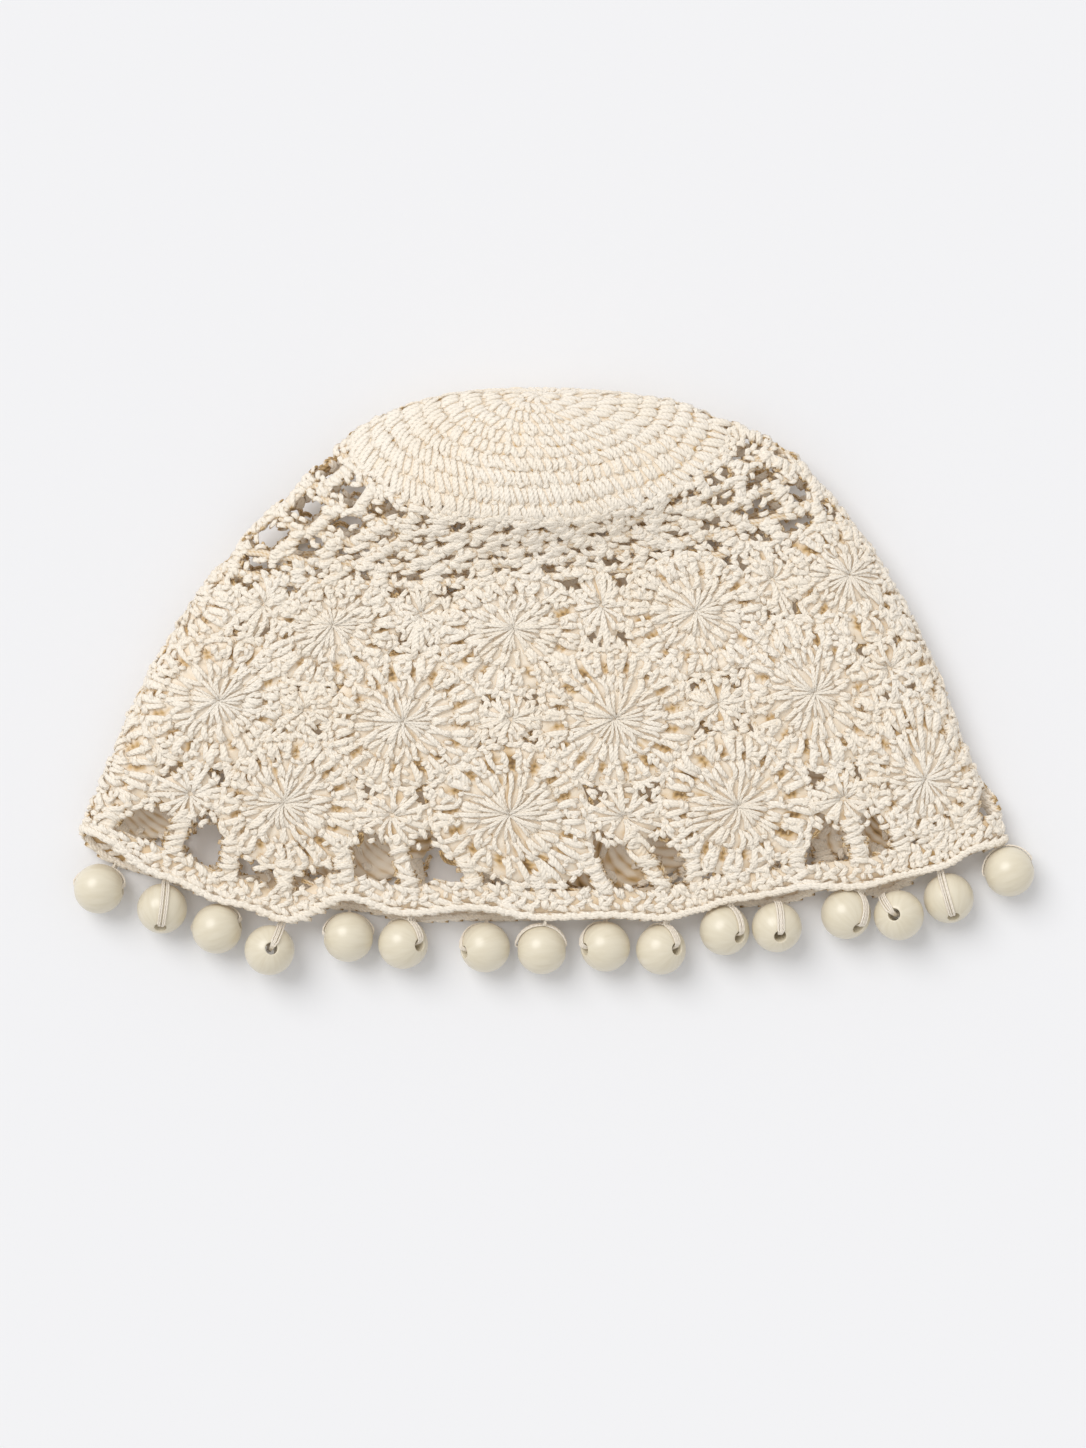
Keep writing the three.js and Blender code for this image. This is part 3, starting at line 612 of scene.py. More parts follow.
@dataclass(frozen=True)
class CottonFinish:
    """Mercerised cotton yarn: cream where it meets the light, golden brown painted shade low between strands,
    and a faint painted glow.
    """

    name: str = "cotton_crochet"
    light: tuple = (0.885, 0.807, 0.697, 1.0)
    # Painted shade colours: golden brown low between strands, near black brown in pinholes.
    crevice_shade: tuple = (0.60, 0.40, 0.17, 1.0)
    pinhole_shade: tuple = (0.22, 0.13, 0.045, 1.0)
    # Colour of the painted glow where the yarn is painted in shade.
    painted_shade_glow: tuple = (0.30, 0.16, 0.05, 1.0)
    worn: tuple = (0.93, 0.86, 0.74, 1.0)
    white: tuple = (1.0, 1.0, 1.0, 1.0)
    plies: int = 4
    ply_pitch: float = 5.5
    ply_shade: float = 0.05
    ply_depth: float = 0.00022
    pair_shade: float = 0.19
    pair_reach: float = 0.4
    tone_shade: float = 0.05
    fuzz_scale: float = 2600.0
    patch_scale: float = 60.0
    # Strength of the painted glow, which makes all the yarn glow faintly.
    glow: float = 0.09

    def make(self) -> bpy.types.Material:
        """Returns the finished yarn material."""
        sheet = NodeSheet(self.name)
        place = sheet.add("ShaderNodeTexCoord").outputs["Object"]
        fuzz, patches = (sheet.add("ShaderNodeTexNoise", Vector=place, Scale=scale, Detail=2.0).outputs["Fac"]
                         for scale in (self.fuzz_scale, self.patch_scale))
        wave, pair = self.twist(sheet)
        # Painted shade along the plies and in the groove where two yarns lie together; the same waves also
        # bump the surface.
        crease = sheet.math("ADD", sheet.math("MULTIPLY", wave, self.ply_shade),
                            sheet.math("MULTIPLY", pair, self.pair_shade))
        depth = sheet.math("ADD", sheet.math("SUBTRACT", sheet.read("shade"), self.pair_shade), crease)
        varied = sheet.math("ADD", depth, sheet.math("MULTIPLY", sheet.read("tone"), self.tone_shade))
        between = tuple(0.3 * low + 0.7 * high for low, high in zip(self.crevice_shade, self.light))
        # This ramp paints shade: pinhole and crevice colours low down, the light cream on tops in the light.
        yarn = sheet.ramp(varied, {0.0: self.pinhole_shade, 0.16: self.crevice_shade, 0.4: between, 0.8: self.light})
        tint = sheet.ramp(patches, {0.35: self.worn, 0.65: self.white})
        plied = sheet.math("ADD", sheet.math("MULTIPLY", wave, 0.6), pair)
        height = sheet.math("ADD", plied, sheet.math("MULTIPLY", fuzz, 0.8))
        return sheet.surface(
            Base_Color=sheet.mix(0.25, yarn, tint, "MULTIPLY"),
            Normal=sheet.bump(height, 0.55, self.ply_depth),
            Roughness=0.4,
            Specular_IOR_Level=0.5,
            Sheen_Weight=0.2,
            Sheen_Roughness=0.5,
            # Painted glow: warm brown where the yarn is painted in shade, cream on its tops.
            Emission_Color=sheet.ramp(varied, {0.05: self.painted_shade_glow, 0.38: self.light}),
            Emission_Strength=self.glow)

    def twist(self, sheet: NodeSheet) -> tuple:
        """Returns the wave of the plies round the yarn, and the crease where two yarns lie together."""
        split = sheet.add("ShaderNodeSeparateXYZ")
        sheet.feed(split.inputs[0], sheet.add("ShaderNodeUVMap", uv_map="yarn").outputs[0])
        turned = sheet.math("ADD", sheet.math("DIVIDE", split.outputs[0], self.ply_pitch), split.outputs[1])
        wave = sheet.math("SINE", sheet.math("MULTIPLY", turned, TURN * self.plies))
        lobes = sheet.math("ABSOLUTE", sheet.math("COSINE", sheet.math("MULTIPLY", split.outputs[1], TURN)))
        return wave, sheet.math("MINIMUM", sheet.math("DIVIDE", lobes, self.pair_reach), 1.0)


@dataclass(frozen=True)
class BeadFinish:
    """Ivory lacquered wood with a soft gloss, a faint grain round the bore and bare wood inside it, which
    also glows as painted light.
    """

    name: str = "bead_wood"
    pale: tuple = (0.77, 0.70, 0.55, 1.0)
    dark: tuple = (0.72, 0.645, 0.49, 1.0)
    # Colour of the bare wood in the bore, and of the painted glow that lights the bore.
    raw_wood_and_glow: tuple = (0.62, 0.44, 0.14, 1.0)
    black: tuple = (0.0, 0.0, 0.0, 1.0)

    def make(self) -> bpy.types.Material:
        """Returns the finished bead material."""
        sheet = NodeSheet(self.name)
        grain = sheet.add("ShaderNodeUVMap", uv_map="UVMap").outputs[0]
        stretch = sheet.add("ShaderNodeMapping", Vector=grain, Scale=(26.0, 3.0, 1.0)).outputs[0]
        rings = sheet.add("ShaderNodeTexNoise", Vector=stretch, Scale=1.0, Detail=3.0).outputs["Fac"]
        bore = sheet.read("bore")
        return sheet.surface(
            Base_Color=sheet.mix(bore, sheet.ramp(rings, {0.3: self.dark, 0.6: self.pale}), self.raw_wood_and_glow),
            Normal=sheet.bump(rings, 0.15, 0.0001),
            Roughness=0.36,
            Coat_Weight=0.5,
            Coat_Roughness=0.26,
            # Painted glow in the bore, which lies in shade.
            Emission_Color=sheet.mix(bore, self.black, self.raw_wood_and_glow),
            Emission_Strength=0.6)


@dataclass(frozen=True)
class TableFinish:
    """Plain pale matte tabletop."""

    name: str = "pale_table"
    colour: tuple = (0.87, 0.87, 0.885, 1.0)

    def make(self) -> bpy.types.Material:
        """Returns the finished tabletop material."""
        return NodeSheet(self.name).surface(Base_Color=self.colour, Roughness=0.9, Specular_IOR_Level=0.1)


@dataclass
class Crown:
    """Solid crown in rounds of double stitches from its middle."""

    form: CapForm
    edge: float = 1.96
    ground_edge: float = 1.9
    ground_sides: int = 140
    ground_rings: int = 40
    rounds: int = 10
    stitches_per_round: float = 7.2
    rim_arches: int = 80
    yarn: float = 0.98
    node: str = "crown"
    work: YarnWork = field(init=False)

    def build(self, cotton: bpy.types.Material) -> bpy.types.Object:
        """Works all rounds over a thin ground and returns the piece."""
        self.work = YarnWork(self.form, 11)
        self.ground()
        pitch = self.edge / self.rounds
        for number in range(self.rounds):
            self.round(number, number * pitch, (number + 1) * pitch)
            self.crossings(number, (number + 1) * pitch)
        for level in (-0.02, 0.03):
            rim = places(self.work.spread(self.rim_arches, 0.3), self.edge + level)
            heading = self.work.random.normal(0.0, 0.6, self.rim_arches)
            self.work.arches(rim, RIM_LOOP, heading)
        return self.work.finish("crown_stitches", (self.node,), "cotton_crochet", cotton)

    def stitches(self, number: int) -> int:
        """Returns how many stitches a round has, from its number."""
        return int(round(self.stitches_per_round * (number + 0.8)))

    def ground(self) -> None:
        """Adds the skin under the stitches, painted in shade with dark dots between rounds and ribbed on its
        inner side, which is painted darker.
        """
        sides = np.arange(self.ground_sides)[None, :]
        outside = np.linspace(0.03, self.ground_edge, self.ground_rings)
        levels = np.concatenate([outside, outside[::-1][::2]])[:, None]
        inner = np.arange(len(levels))[:, None] >= len(outside)
        swell = np.abs(np.sin(levels * math.pi * self.rounds / self.edge))
        ribs = swell * (0.7 + 0.3 * np.cos(sides * math.pi))
        # Painted shade: the skin is lighter on the swell of each round, darker at dots between rounds, and
        # darker on its inner side.
        lift = np.where(inner, -0.8 - 0.5 * ribs, 0.25 + 0.45 * np.sqrt(swell))
        painted_pinhole_dots = 0.45 * (self.work.random.uniform(0.0, 1.0, lift.shape) < 0.2) * (1.0 - swell)
        shade = np.where(inner, 0.25 + 0.3 * ribs, 0.46 + 0.2 * swell - painted_pinhole_dots)
        self.work.sheet(sides * HALF_COLUMNS / self.ground_sides, levels, lift, shade)

    def round(self, number: int, inner: float, outer: float) -> None:
        """Works one round of double stitches.

        Args:
            number: Number of the round, from the middle.
            inner: Level where its stitches start.
            outer: Level where they end.
        """
        random = self.work.random
        count = self.stitches(number)
        step = HALF_COLUMNS / count
        place = np.arange(count) * step + random.uniform(0.0, step)
        narrow = 0.6 if number == 0 else 0.9
        for offset, size in ((-0.25, 1.0), (0.25, 0.93)):
            middle = place + (offset + random.normal(0.0, 0.06, count)) * step
            slant = (0.3 + random.normal(0.0, 0.12, count)) * step
            start = inner - 0.01 + random.normal(0.0, 0.012, count)
            end = outer + 0.015 + random.normal(0.0, 0.012, count)
            radii = tuple(size * self.yarn * share for share in (narrow * 0.6, narrow, 1.06, 1.0, 0.6))
            stitch = Stroke((0.3, 0.85, 1.05, 0.9, 0.25), radii, 1.3)
            self.work.strand(places(middle - slant, start), places(middle + slant, end), stitch)

    def crossings(self, number: int, level: float) -> None:
        """Adds the short strands that cross from one round to the next, with pinholes between them.

        Args:
            number: Number of the round, from the middle.
            level: Level where the round ends.
        """
        random = self.work.random
        count = self.stitches(number)
        place = self.work.spread(count, 0.2)
        levels = level + random.normal(0.0, 0.012, count)
        heading = random.choice([-1.0, 1.0], count) * random.uniform(0.1, 0.9, count)
        self.work.arches(places(place, levels), CROSSING, heading)


@dataclass
class OpenNet:
    """Open net of knobby bars and posts between the crown and the motifs."""

    form: CapForm
    top: float = 1.985
    bottom: float = 2.875
    rows: int = 4
    columns: int = 26
    knobs: int = 84
    bar_core: float = 1.3
    bar_rings: int = 192
    bar_share: float = 0.075
    bar_least: float = 0.7
    bar_most: float = 2.9
    node: str = "mesh_band"
    work: YarnWork = field(init=False)

    def build(self, cotton: bpy.types.Material) -> bpy.types.Object:
        """Works all bars and posts and returns the piece."""
        self.work = YarnWork(self.form, 23)
        step = (self.bottom - self.top) / self.rows
        for row in range(self.rows + 1):
            self.bar(self.top + row * step)
        for row in range(self.rows):
            self.posts((row % 2) / 2.0, self.top + row * step, step)
        return self.work.finish("mesh_stitches", (self.node,), "cotton_crochet", cotton)

    def bar(self, level: float) -> None:
        """Works one knobby bar round the whole cap at a level."""
        random = self.work.random
        around = np.arange(self.bar_rings)[None, :] * HALF_COLUMNS / self.bar_rings
        wave = 0.010 * np.sin(around * 7.0 + 10.0 * level) + 0.008 * np.sin(around * 17.0 + 3.0 * level)
        self.work.lay(around, level + wave, lift=0.0, radius=self.bar_core, closed=True)
        for side, lift in ((-0.8, 0.8), (0.0, 1.15), (0.8, 0.8), (0.0, -0.9)):
            place = self.work.spread(self.knobs, 0.45)
            _, stretch = self.form.spacing(place, level + 0.0 * place)
            reach = np.clip(self.bar_share * stretch, self.bar_least, self.bar_most) / stretch
            levels = level + (side + random.normal(0.0, 0.3, self.knobs)) * reach
            heading = random.normal(0.0, 0.75, self.knobs)
            self.work.arches(places(place, levels), Arch(3.5, 0.9, lift), heading)

    def posts(self, offset: float, level: float, step: float) -> None:
        """Works one row of posts, each a wrapped strand with short ones across both its ends.

        Args:
            offset: How far the row is shifted round, as a share of the posts' pitch.
            level: Level where they start.
            step: Their length in levels.
        """
        random = self.work.random
        count = self.columns
        place = (np.arange(count) + offset + random.normal(0.0, 0.1, count)) * HALF_COLUMNS / count
        lean = random.normal(0.0, 0.07, count)
        start, end = places(place - lean, level), places(place + lean, level + step)
        self.work.strand(start, end, POST)
        self.work.wrap(start, end, width=5.2, yarn=0.95, pitch=1.8)
        width, _ = self.form.spacing(place, level + 0.0 * place)
        for share in (0.06, 0.94):
            for aside in (-1.3, 1.3):
                columns = place + (aside + random.normal(0.0, 0.5, count)) / width
                levels = level + step * share + random.normal(0.0, 0.01, count)
                heading = random.normal(0.0, 1.0, count)
                self.work.arches(places(columns, levels), POST_LOOP, heading)


class MotifRow(Enum):
    """The three rows of round motifs, each with its measures in pattern places."""

    UPPER = ("upper", 3.4, 0, 0.38, 0.65, 3.235, 0.445)
    MIDDLE = ("middle", 4.4, 1, 0.36, 0.70, 4.355, 0.290)
    LOWER = ("lower", 5.4, 0, 0.335, 0.74, 5.450, 0.335)

    def __init__(self, label: str, level: float, first: int, width: float, height: float,
                 filler: float, filler_height: float) -> None:
        """Names the measures of a row."""
        self.label = label
        self.level = level
        self.first = first
        self.width = width
        self.height = height
        self.filler = filler
        self.filler_height = filler_height


@dataclass
class RoundMotif:
    """One round motif with its joined filler."""

    form: CapForm
    row: MotifRow
    number: int
    spokes: int = 26
    pairs: int = 38
    knots: int = 28
    clusters: int = 16
    edge_arches: int = 42
    inner_spokes: int = 12
    inner_arches: int = 26
    filler_spokes: int = 16
    filler_sides: int = 24
    reach: float = 1.08
    upper_squash: float = 0.82
    column: float = field(init=False)
    turned: float = field(init=False)
    work: YarnWork = field(init=False)

    def __post_init__(self) -> None:
        """Works out which column the motif is on and turns it by chance."""
        self.column = self.row.first + 2.0 * self.number
        self.work = YarnWork(self.form, 100 + 17 * self.number + int(10 * self.row.level))
        self.turned = self.work.random.uniform(0.0, TURN)

    def build(self, cotton: bpy.types.Material) -> bpy.types.Object:
        """Works the motif and its filler and returns the piece."""
        name = f"motif_{self.row.label}_{self.number + 1}"
        self.ground()
        self.wheel()
        self.puffs()
        self.edge()
        self.inside()
        self.filler()
        return self.work.finish(name + "_stitches", (name,), "cotton_crochet", cotton)

    def place(self, reach: np.ndarray, angle: np.ndarray) -> np.ndarray:
        """Gives pattern places from the motif's own reach and angle.

        Args:
            reach: Shares of the motif's radius.
            angle: Angles in radians, anticlockwise seen from outside.

        Returns:
            Columns and levels, with one more axis of length two.
        """
        reach = self.reach * np.asarray(reach)
        column = self.column + 2.0 * self.row.width * reach * np.cos(angle)
        squash = np.where((np.sin(angle) > 0.0) & (self.row is MotifRow.UPPER), self.upper_squash, 1.0)
        return places(column, self.row.level - squash * self.row.height * reach * np.sin(angle))

    def ground(self) -> None:
        """Adds the skin under the stitches, sunk and painted dark as shade at pinholes between the clusters,
        and knobby on its inner side, with painted shade between the knobs.
        """
        sides = np.arange(4 * self.clusters)[None, :]
        outside = np.array([0.03, 0.28, 0.42, 0.56, 0.64, 0.69, 0.74, 0.82, 0.97])
        reach = np.concatenate([outside, [0.97, 0.86, 0.74, 0.6, 0.44, 0.26, 0.03]])[:, None]
        rings = np.arange(len(reach))[:, None]
        inner = rings >= len(outside)
        pinhole_shade = (sides % 4 == 2) * smoothstep(reach, 0.58, 0.66) * smoothstep(-reach, -0.86, -0.76)
        ribs = (1.0 - 2.0 * (sides % 2)) * smoothstep(reach, 0.15, 0.4)
        knobs = 0.5 + 0.5 * ribs * (1.0 - 2.0 * (rings % 2))
        knobs = np.clip(knobs + self.work.random.normal(0.0, 0.2, knobs.shape), 0.0, 1.0)
        # Painted shade: ribs and knob tops lighter, the sunk pinholes and the inner side darker.
        lift = np.where(inner, -0.5 - 0.6 * knobs, 0.4 + 0.2 * ribs - 0.8 * pinhole_shade)
        shade = np.where(inner, 0.2 + 0.4 * knobs, 0.5 + 0.1 * ribs - 0.5 * pinhole_shade)
        place = self.place(reach, self.turned + 0.1 + sides * TURN / sides.size)
        self.work.sheet(place[..., 0], place[..., 1], lift, shade)

    def wheel(self) -> None:
        """Works the spokes at the middle, the pairs round them and the knots that end the pairs."""
        random = self.work.random
        count = self.spokes
        angle = self.turned + self.work.angles(count, 0.12 * TURN / count)
        self.work.strand(self.place(0.02, angle - 0.3), self.place(random.uniform(0.34, 0.46, count), angle),
                         SPOKE)
        count = self.pairs
        angle = self.turned + self.work.angles(count, 0.14 * TURN / count)
        slant = np.where(np.arange(count) % 2 == 0, 0.07, -0.05) + random.normal(0.0, 0.04, count)
        self.work.strand(self.place(random.uniform(0.29, 0.37, count), angle - slant),
                         self.place(random.uniform(0.56, 0.66, count), angle + slant),
                         PAIR)
        count = self.knots
        angle = self.turned + (np.arange(count) + random.uniform(-0.3, 0.3, count)) * TURN / count
        spots = self.place(random.uniform(0.54, 0.65, count), angle)
        self.work.arches(spots, KNOT, angle + random.normal(0.6, 0.7, count))

    def puffs(self) -> None:
        """Works the bulging clusters round the edge and the strands that close them."""
        random = self.work.random
        count = self.clusters
        angle = self.turned + 0.1 + self.work.angles(count, 0.03)
        full = random.uniform(0.93, 1.02, count)
        for step in (-1.0, 1.0):
            end = 0.95 * full + random.normal(0.0, 0.02, count)
            self.work.strand(self.place(0.6, angle + step * 0.05 + random.normal(0.0, 0.025, count)),
                             self.place(end, angle + step * 0.1 + random.normal(0.0, 0.025, count)),
                             PUFF)
        across = np.linspace(-1.0, 1.0, 5)[None, :]
        around = angle[:, None] + math.pi / count * across * random.uniform(0.7, 1.1, (count, 1))
        place = self.place(0.99 * full[:, None] - 0.06 * across ** 2, around)
        self.work.lay(place[..., 0], place[..., 1], 0.7 - 0.6 * across ** 2, 0.92 - 0.2 * across ** 2)
        for reach, lift, aside in ((0.69, 1.2, -0.05), (0.77, 1.6, -0.08), (0.83, 1.7, 0.08),
                                   (0.91, 1.65, -0.06), (0.98, 1.2, 0.07)):
            around = angle + aside + random.normal(0.0, 0.05, count)
            spots = self.place(reach * full + random.normal(0.0, 0.02, count), around)
            self.work.arches(spots, Arch(3.0, 0.8, lift), around + random.uniform(0.2, 2.9, count))

    def edge(self) -> None:
        """Works the knobby edge that meets the neighbours, front and back."""
        random = self.work.random
        count = self.edge_arches
        around = self.work.angles(count, 0.05)
        spots = self.place(random.uniform(0.95, 1.07, count), around)
        self.work.arches(spots, EDGE_LOOP, around + math.pi / 2.0 + random.normal(0.0, 0.7, count))
        count = self.edge_arches // 3
        around = self.work.angles(count, 0.08)
        spots = self.place(random.uniform(0.96, 1.05, count), around)
        self.work.arches(spots, INNER_EDGE_LOOP, around + math.pi / 2.0)

    def inside(self) -> None:
        """Works the plainer inner face, which shows through the gaps of the other layer."""
        random = self.work.random
        angle = self.turned + np.arange(self.inner_spokes) * TURN / self.inner_spokes
        self.work.strand(self.place(0.04, angle - 0.2), self.place(0.6, angle),
                         INNER_SPOKE)
        count = self.inner_arches
        golden_share = 0.618
        around = np.arange(count) * TURN * golden_share + random.normal(0.0, 0.1, count)
        spots = self.place(random.uniform(0.62, 0.95, count), around)
        self.work.arches(spots, INNER_LOOP, around + random.normal(0.0, 0.9, count))

    def filler(self) -> None:
        """Works the small filler on the motif's right side."""
        random = self.work.random
        tip = 1.0 - 2.0 * self.row.width * math.cos(math.pi / 12.0)
        middle = np.array([self.column + 1.0, self.row.filler])
        half = np.array([tip, -self.row.filler_height])

        def spot(reach: np.ndarray, angle: np.ndarray) -> np.ndarray:
            """Gives pattern places from the filler's own reach and angle."""
            way = places(np.cos(angle), np.sin(angle))
            return middle + half * way * np.expand_dims(np.broadcast_to(reach, way.shape[:-1]), -1)

        angle = self.work.angles(self.filler_spokes, 0.05)
        full = 1.0 + 0.1 * np.cos(4.0 * angle) + random.normal(0.0, 0.03, self.filler_spokes)
        self.work.strand(spot(0.08, angle - 0.3), spot(full, angle),
                         PETAL)
        self.work.strand(spot(0.08, angle[::2] - 0.3), spot(full[::2], angle[::2]),
                         INNER_PETAL)
        for count, low, high, lift in ((24, 0.85, 1.18, 0.9), (18, 0.3, 0.85, 1.55)):
            around = self.work.angles(count, 0.15)
            spots = spot(random.uniform(low, high, count), around)
            heading = around + math.pi / 2.0 + random.normal(0.0, 0.8, count)
            self.work.arches(spots, Arch(3.0, 0.84, lift), heading)
        angle = np.arange(self.filler_sides)[None, :] * TURN / self.filler_sides
        reach = np.array([0.05, 0.6, 1.0, 1.0, 0.6, 0.05])[:, None]
        place = spot((0.85 + 0.1 * np.cos(4.0 * angle)) * reach, angle + 0.0 * reach)
        side = np.array([1.0, 1.0, 1.0, -1.0, -1.0, -1.0])[:, None]
        # Painted shade: the filler's skin is darker than the yarn tops, and darker again on its inner side.
        self.work.sheet(place[..., 0], place[..., 1], 0.4 * side, np.where(side > 0.0, 0.45, 0.25))


@dataclass
class Edging:
    """Bars under the lowest motifs, rows of short stitches and the plaited scalloped edge."""

    form: CapForm
    row_pitch: float = 27.61
    border_width: float = 8.2
    scallop: float = 3.3
    post_length: float = 1.4
    join: float = 0.3
    post_width: float = 6.6
    stitches: int = 176
    skin_sides: int = 256
    node: str = "edging"
    top: float = field(init=False)
    work: YarnWork = field(init=False)

    def __post_init__(self) -> None:
        """Works out the level where the border starts."""
        row = MotifRow.LOWER
        gap = self.join / self.row_pitch
        flat = row.level + (row.height - gap / 2.0) * math.cos(math.pi / 12.0)
        self.top = flat + gap + self.post_length / self.row_pitch

    def rim(self, column: np.ndarray) -> np.ndarray:
        """Returns the level of the scalloped rim at columns."""
        column = np.asarray(column, dtype=float)
        hang = self.form.column("hang", column, 0.0)
        peak = (1.0 + np.cos(TURN * column)) / 2.0
        sink = (1.0 - peak) * self.form.column("valley", column - 0.5, 0.0)
        depth = self.border_width + self.scallop * (peak * (1.0 + hang) + sink - 1.0)
        return self.top + depth / self.row_pitch

    def upper(self, column: np.ndarray) -> np.ndarray:
        """Returns the level of the border's upper side, which follows the rim where that hangs low."""
        return np.maximum(self.top, self.rim(column) - self.border_width / self.row_pitch)

    def build(self, cotton: bpy.types.Material) -> bpy.types.Object:
        """Works the bars, the border and the edge and returns the piece."""
        self.work = YarnWork(self.form, 37)
        self.ground()
        for side, count in ((1.0, self.stitches), (-1.0, self.stitches // 2)):
            for start, end, slant in ((0.0, 0.34, 1.0), (0.3, 0.62, -1.0), (0.55, 0.8, 1.0)):
                self.stitch_row(start, end, slant, side, count)
        self.loops()
        self.plait()
        self.bars()
        return self.work.finish("edging_stitches", (self.node,), "cotton_crochet", cotton)

    def level(self, column: np.ndarray, share: np.ndarray) -> np.ndarray:
        """Returns levels between the border's upper side and the rim."""
        start = self.upper(column)
        return start + (self.rim(column) - start) * share

    def ground(self) -> None:
        """Adds the skin inside the border, painted dark as the shade under its stitches."""
        column = -np.arange(self.skin_sides)[None, :] * HALF_COLUMNS / self.skin_sides
        share = np.array([0.05, 0.9, 0.9, 0.05])[:, None]
        lift = np.array([-0.4, -0.4, 0.4, 0.4])[:, None]
        # Painted shade: the whole skin is dark.
        self.work.sheet(column, self.level(column, share), lift, 0.3, closed=True)

    def stitch_row(self, start: float, end: float, slant: float, side: float, count: int) -> None:
        """Works one row of short slanted stitches.

        Args:
            start: Share of the border where the stitches start.
            end: Share where they end.
            slant: Way that they lean, 1 or -1.
            side: 1 for the outer face and -1 for the inner one.
            count: How many stitches the row has.
        """
        random = self.work.random
        place = self.work.spread(count, 0.3)
        lean = (0.35 * slant + random.normal(0.0, 0.25, count)) * HALF_COLUMNS / count
        shift = random.normal(0.0, 0.035, count)
        lifts = tuple(side * lift for lift in (0.35, 0.8, 1.0, 0.8, 0.35))
        self.work.strand(places(place - lean, self.level(place, start + shift)),
                         places(place + lean, self.level(place, end + shift)),
                         Stroke(lifts, (0.7, 0.9, 0.98, 0.9, 0.7), 2.2))

    def loops(self) -> None:
        """Adds loose strands over the border and along its upper side."""
        random = self.work.random
        for share, count in ((0.02, 110), (0.32, 90), (0.6, 90)):
            column = self.work.spread(count, 0.5)
            levels = self.level(column, share + random.normal(0.0, 0.05, count))
            self.work.arches(places(column, levels), BORDER_LOOP, random.normal(0.0, 0.8, count))

    def plait(self) -> None:
        """Works the plaited chain along the edge."""
        count = self.stitches * 5 // 6
        step = HALF_COLUMNS / count
        for way, shift in ((1.0, 0.0), (-1.0, 0.5)):
            middle = (np.arange(count) + shift) * step
            foot = places(middle - 0.8 * step, self.level(middle, 0.94 - 0.08 * way))
            head = places(middle + 0.8 * step, self.level(middle, 0.94 + 0.08 * way))
            for lifts in ((0.2, 1.25, 1.65, 1.25, 0.2), (0.2, -0.75, -0.95, -0.75, 0.2)):
                self.work.strand(foot, head, Stroke(lifts, (0.5, 0.95, 1.1, 0.95, 0.5), 0.6))
        around = np.arange(self.skin_sides)[None, :] * HALF_COLUMNS / self.skin_sides
        self.work.lay(around, self.level(around, 0.9), lift=0.0, radius=0.8, closed=True)

    def bars(self) -> None:
        """Winds the bars between the lowest motifs and the border."""
        row = MotifRow.LOWER
        corner = row.level + row.height * math.sin(math.pi / 4.0)
        tops = {0.0: self.top - 0.12, 0.5: corner - 0.06, 1.0: row.filler + row.filler_height - 0.1}
        column = np.arange(2 * HALF_COLUMNS) / 2.0
        offset = np.abs(column - 2.0 * np.round(column / 2.0))
        start = places(column, np.array([tops[value] for value in offset]))
        end = places(column, self.upper(column) + 0.04)
        self.work.strand(start, end, BAR)
        self.work.wrap(start, end, width=self.post_width, yarn=0.88, pitch=1.45)


@dataclass(frozen=True)
class BeadSpot:
    """Where a bead hangs: its column, how far it leans and the way of its bore, in degrees."""

    column: int
    lean: float
    azimuth: float
    elevation: float


BEADS = (
    BeadSpot(12, -25, 0, 0), BeadSpot(13, 0, -90, 40), BeadSpot(11, -7, 15, 5), BeadSpot(14, -22, 40, 78),
    BeadSpot(10, 5, 180, 8), BeadSpot(15, -15, 0, 44), BeadSpot(9, 0, 190, 28), BeadSpot(0, -9, 0, 0),
    BeadSpot(8, 0, 185, 29), BeadSpot(1, -12, 7, 50), BeadSpot(2, -12, -22, 50), BeadSpot(7, 0, -76, 70),
    BeadSpot(3, -38, -50, 45), BeadSpot(6, 22, 164, 72), BeadSpot(4, 11, -80, 40), BeadSpot(5, 0, 20, 10),
)


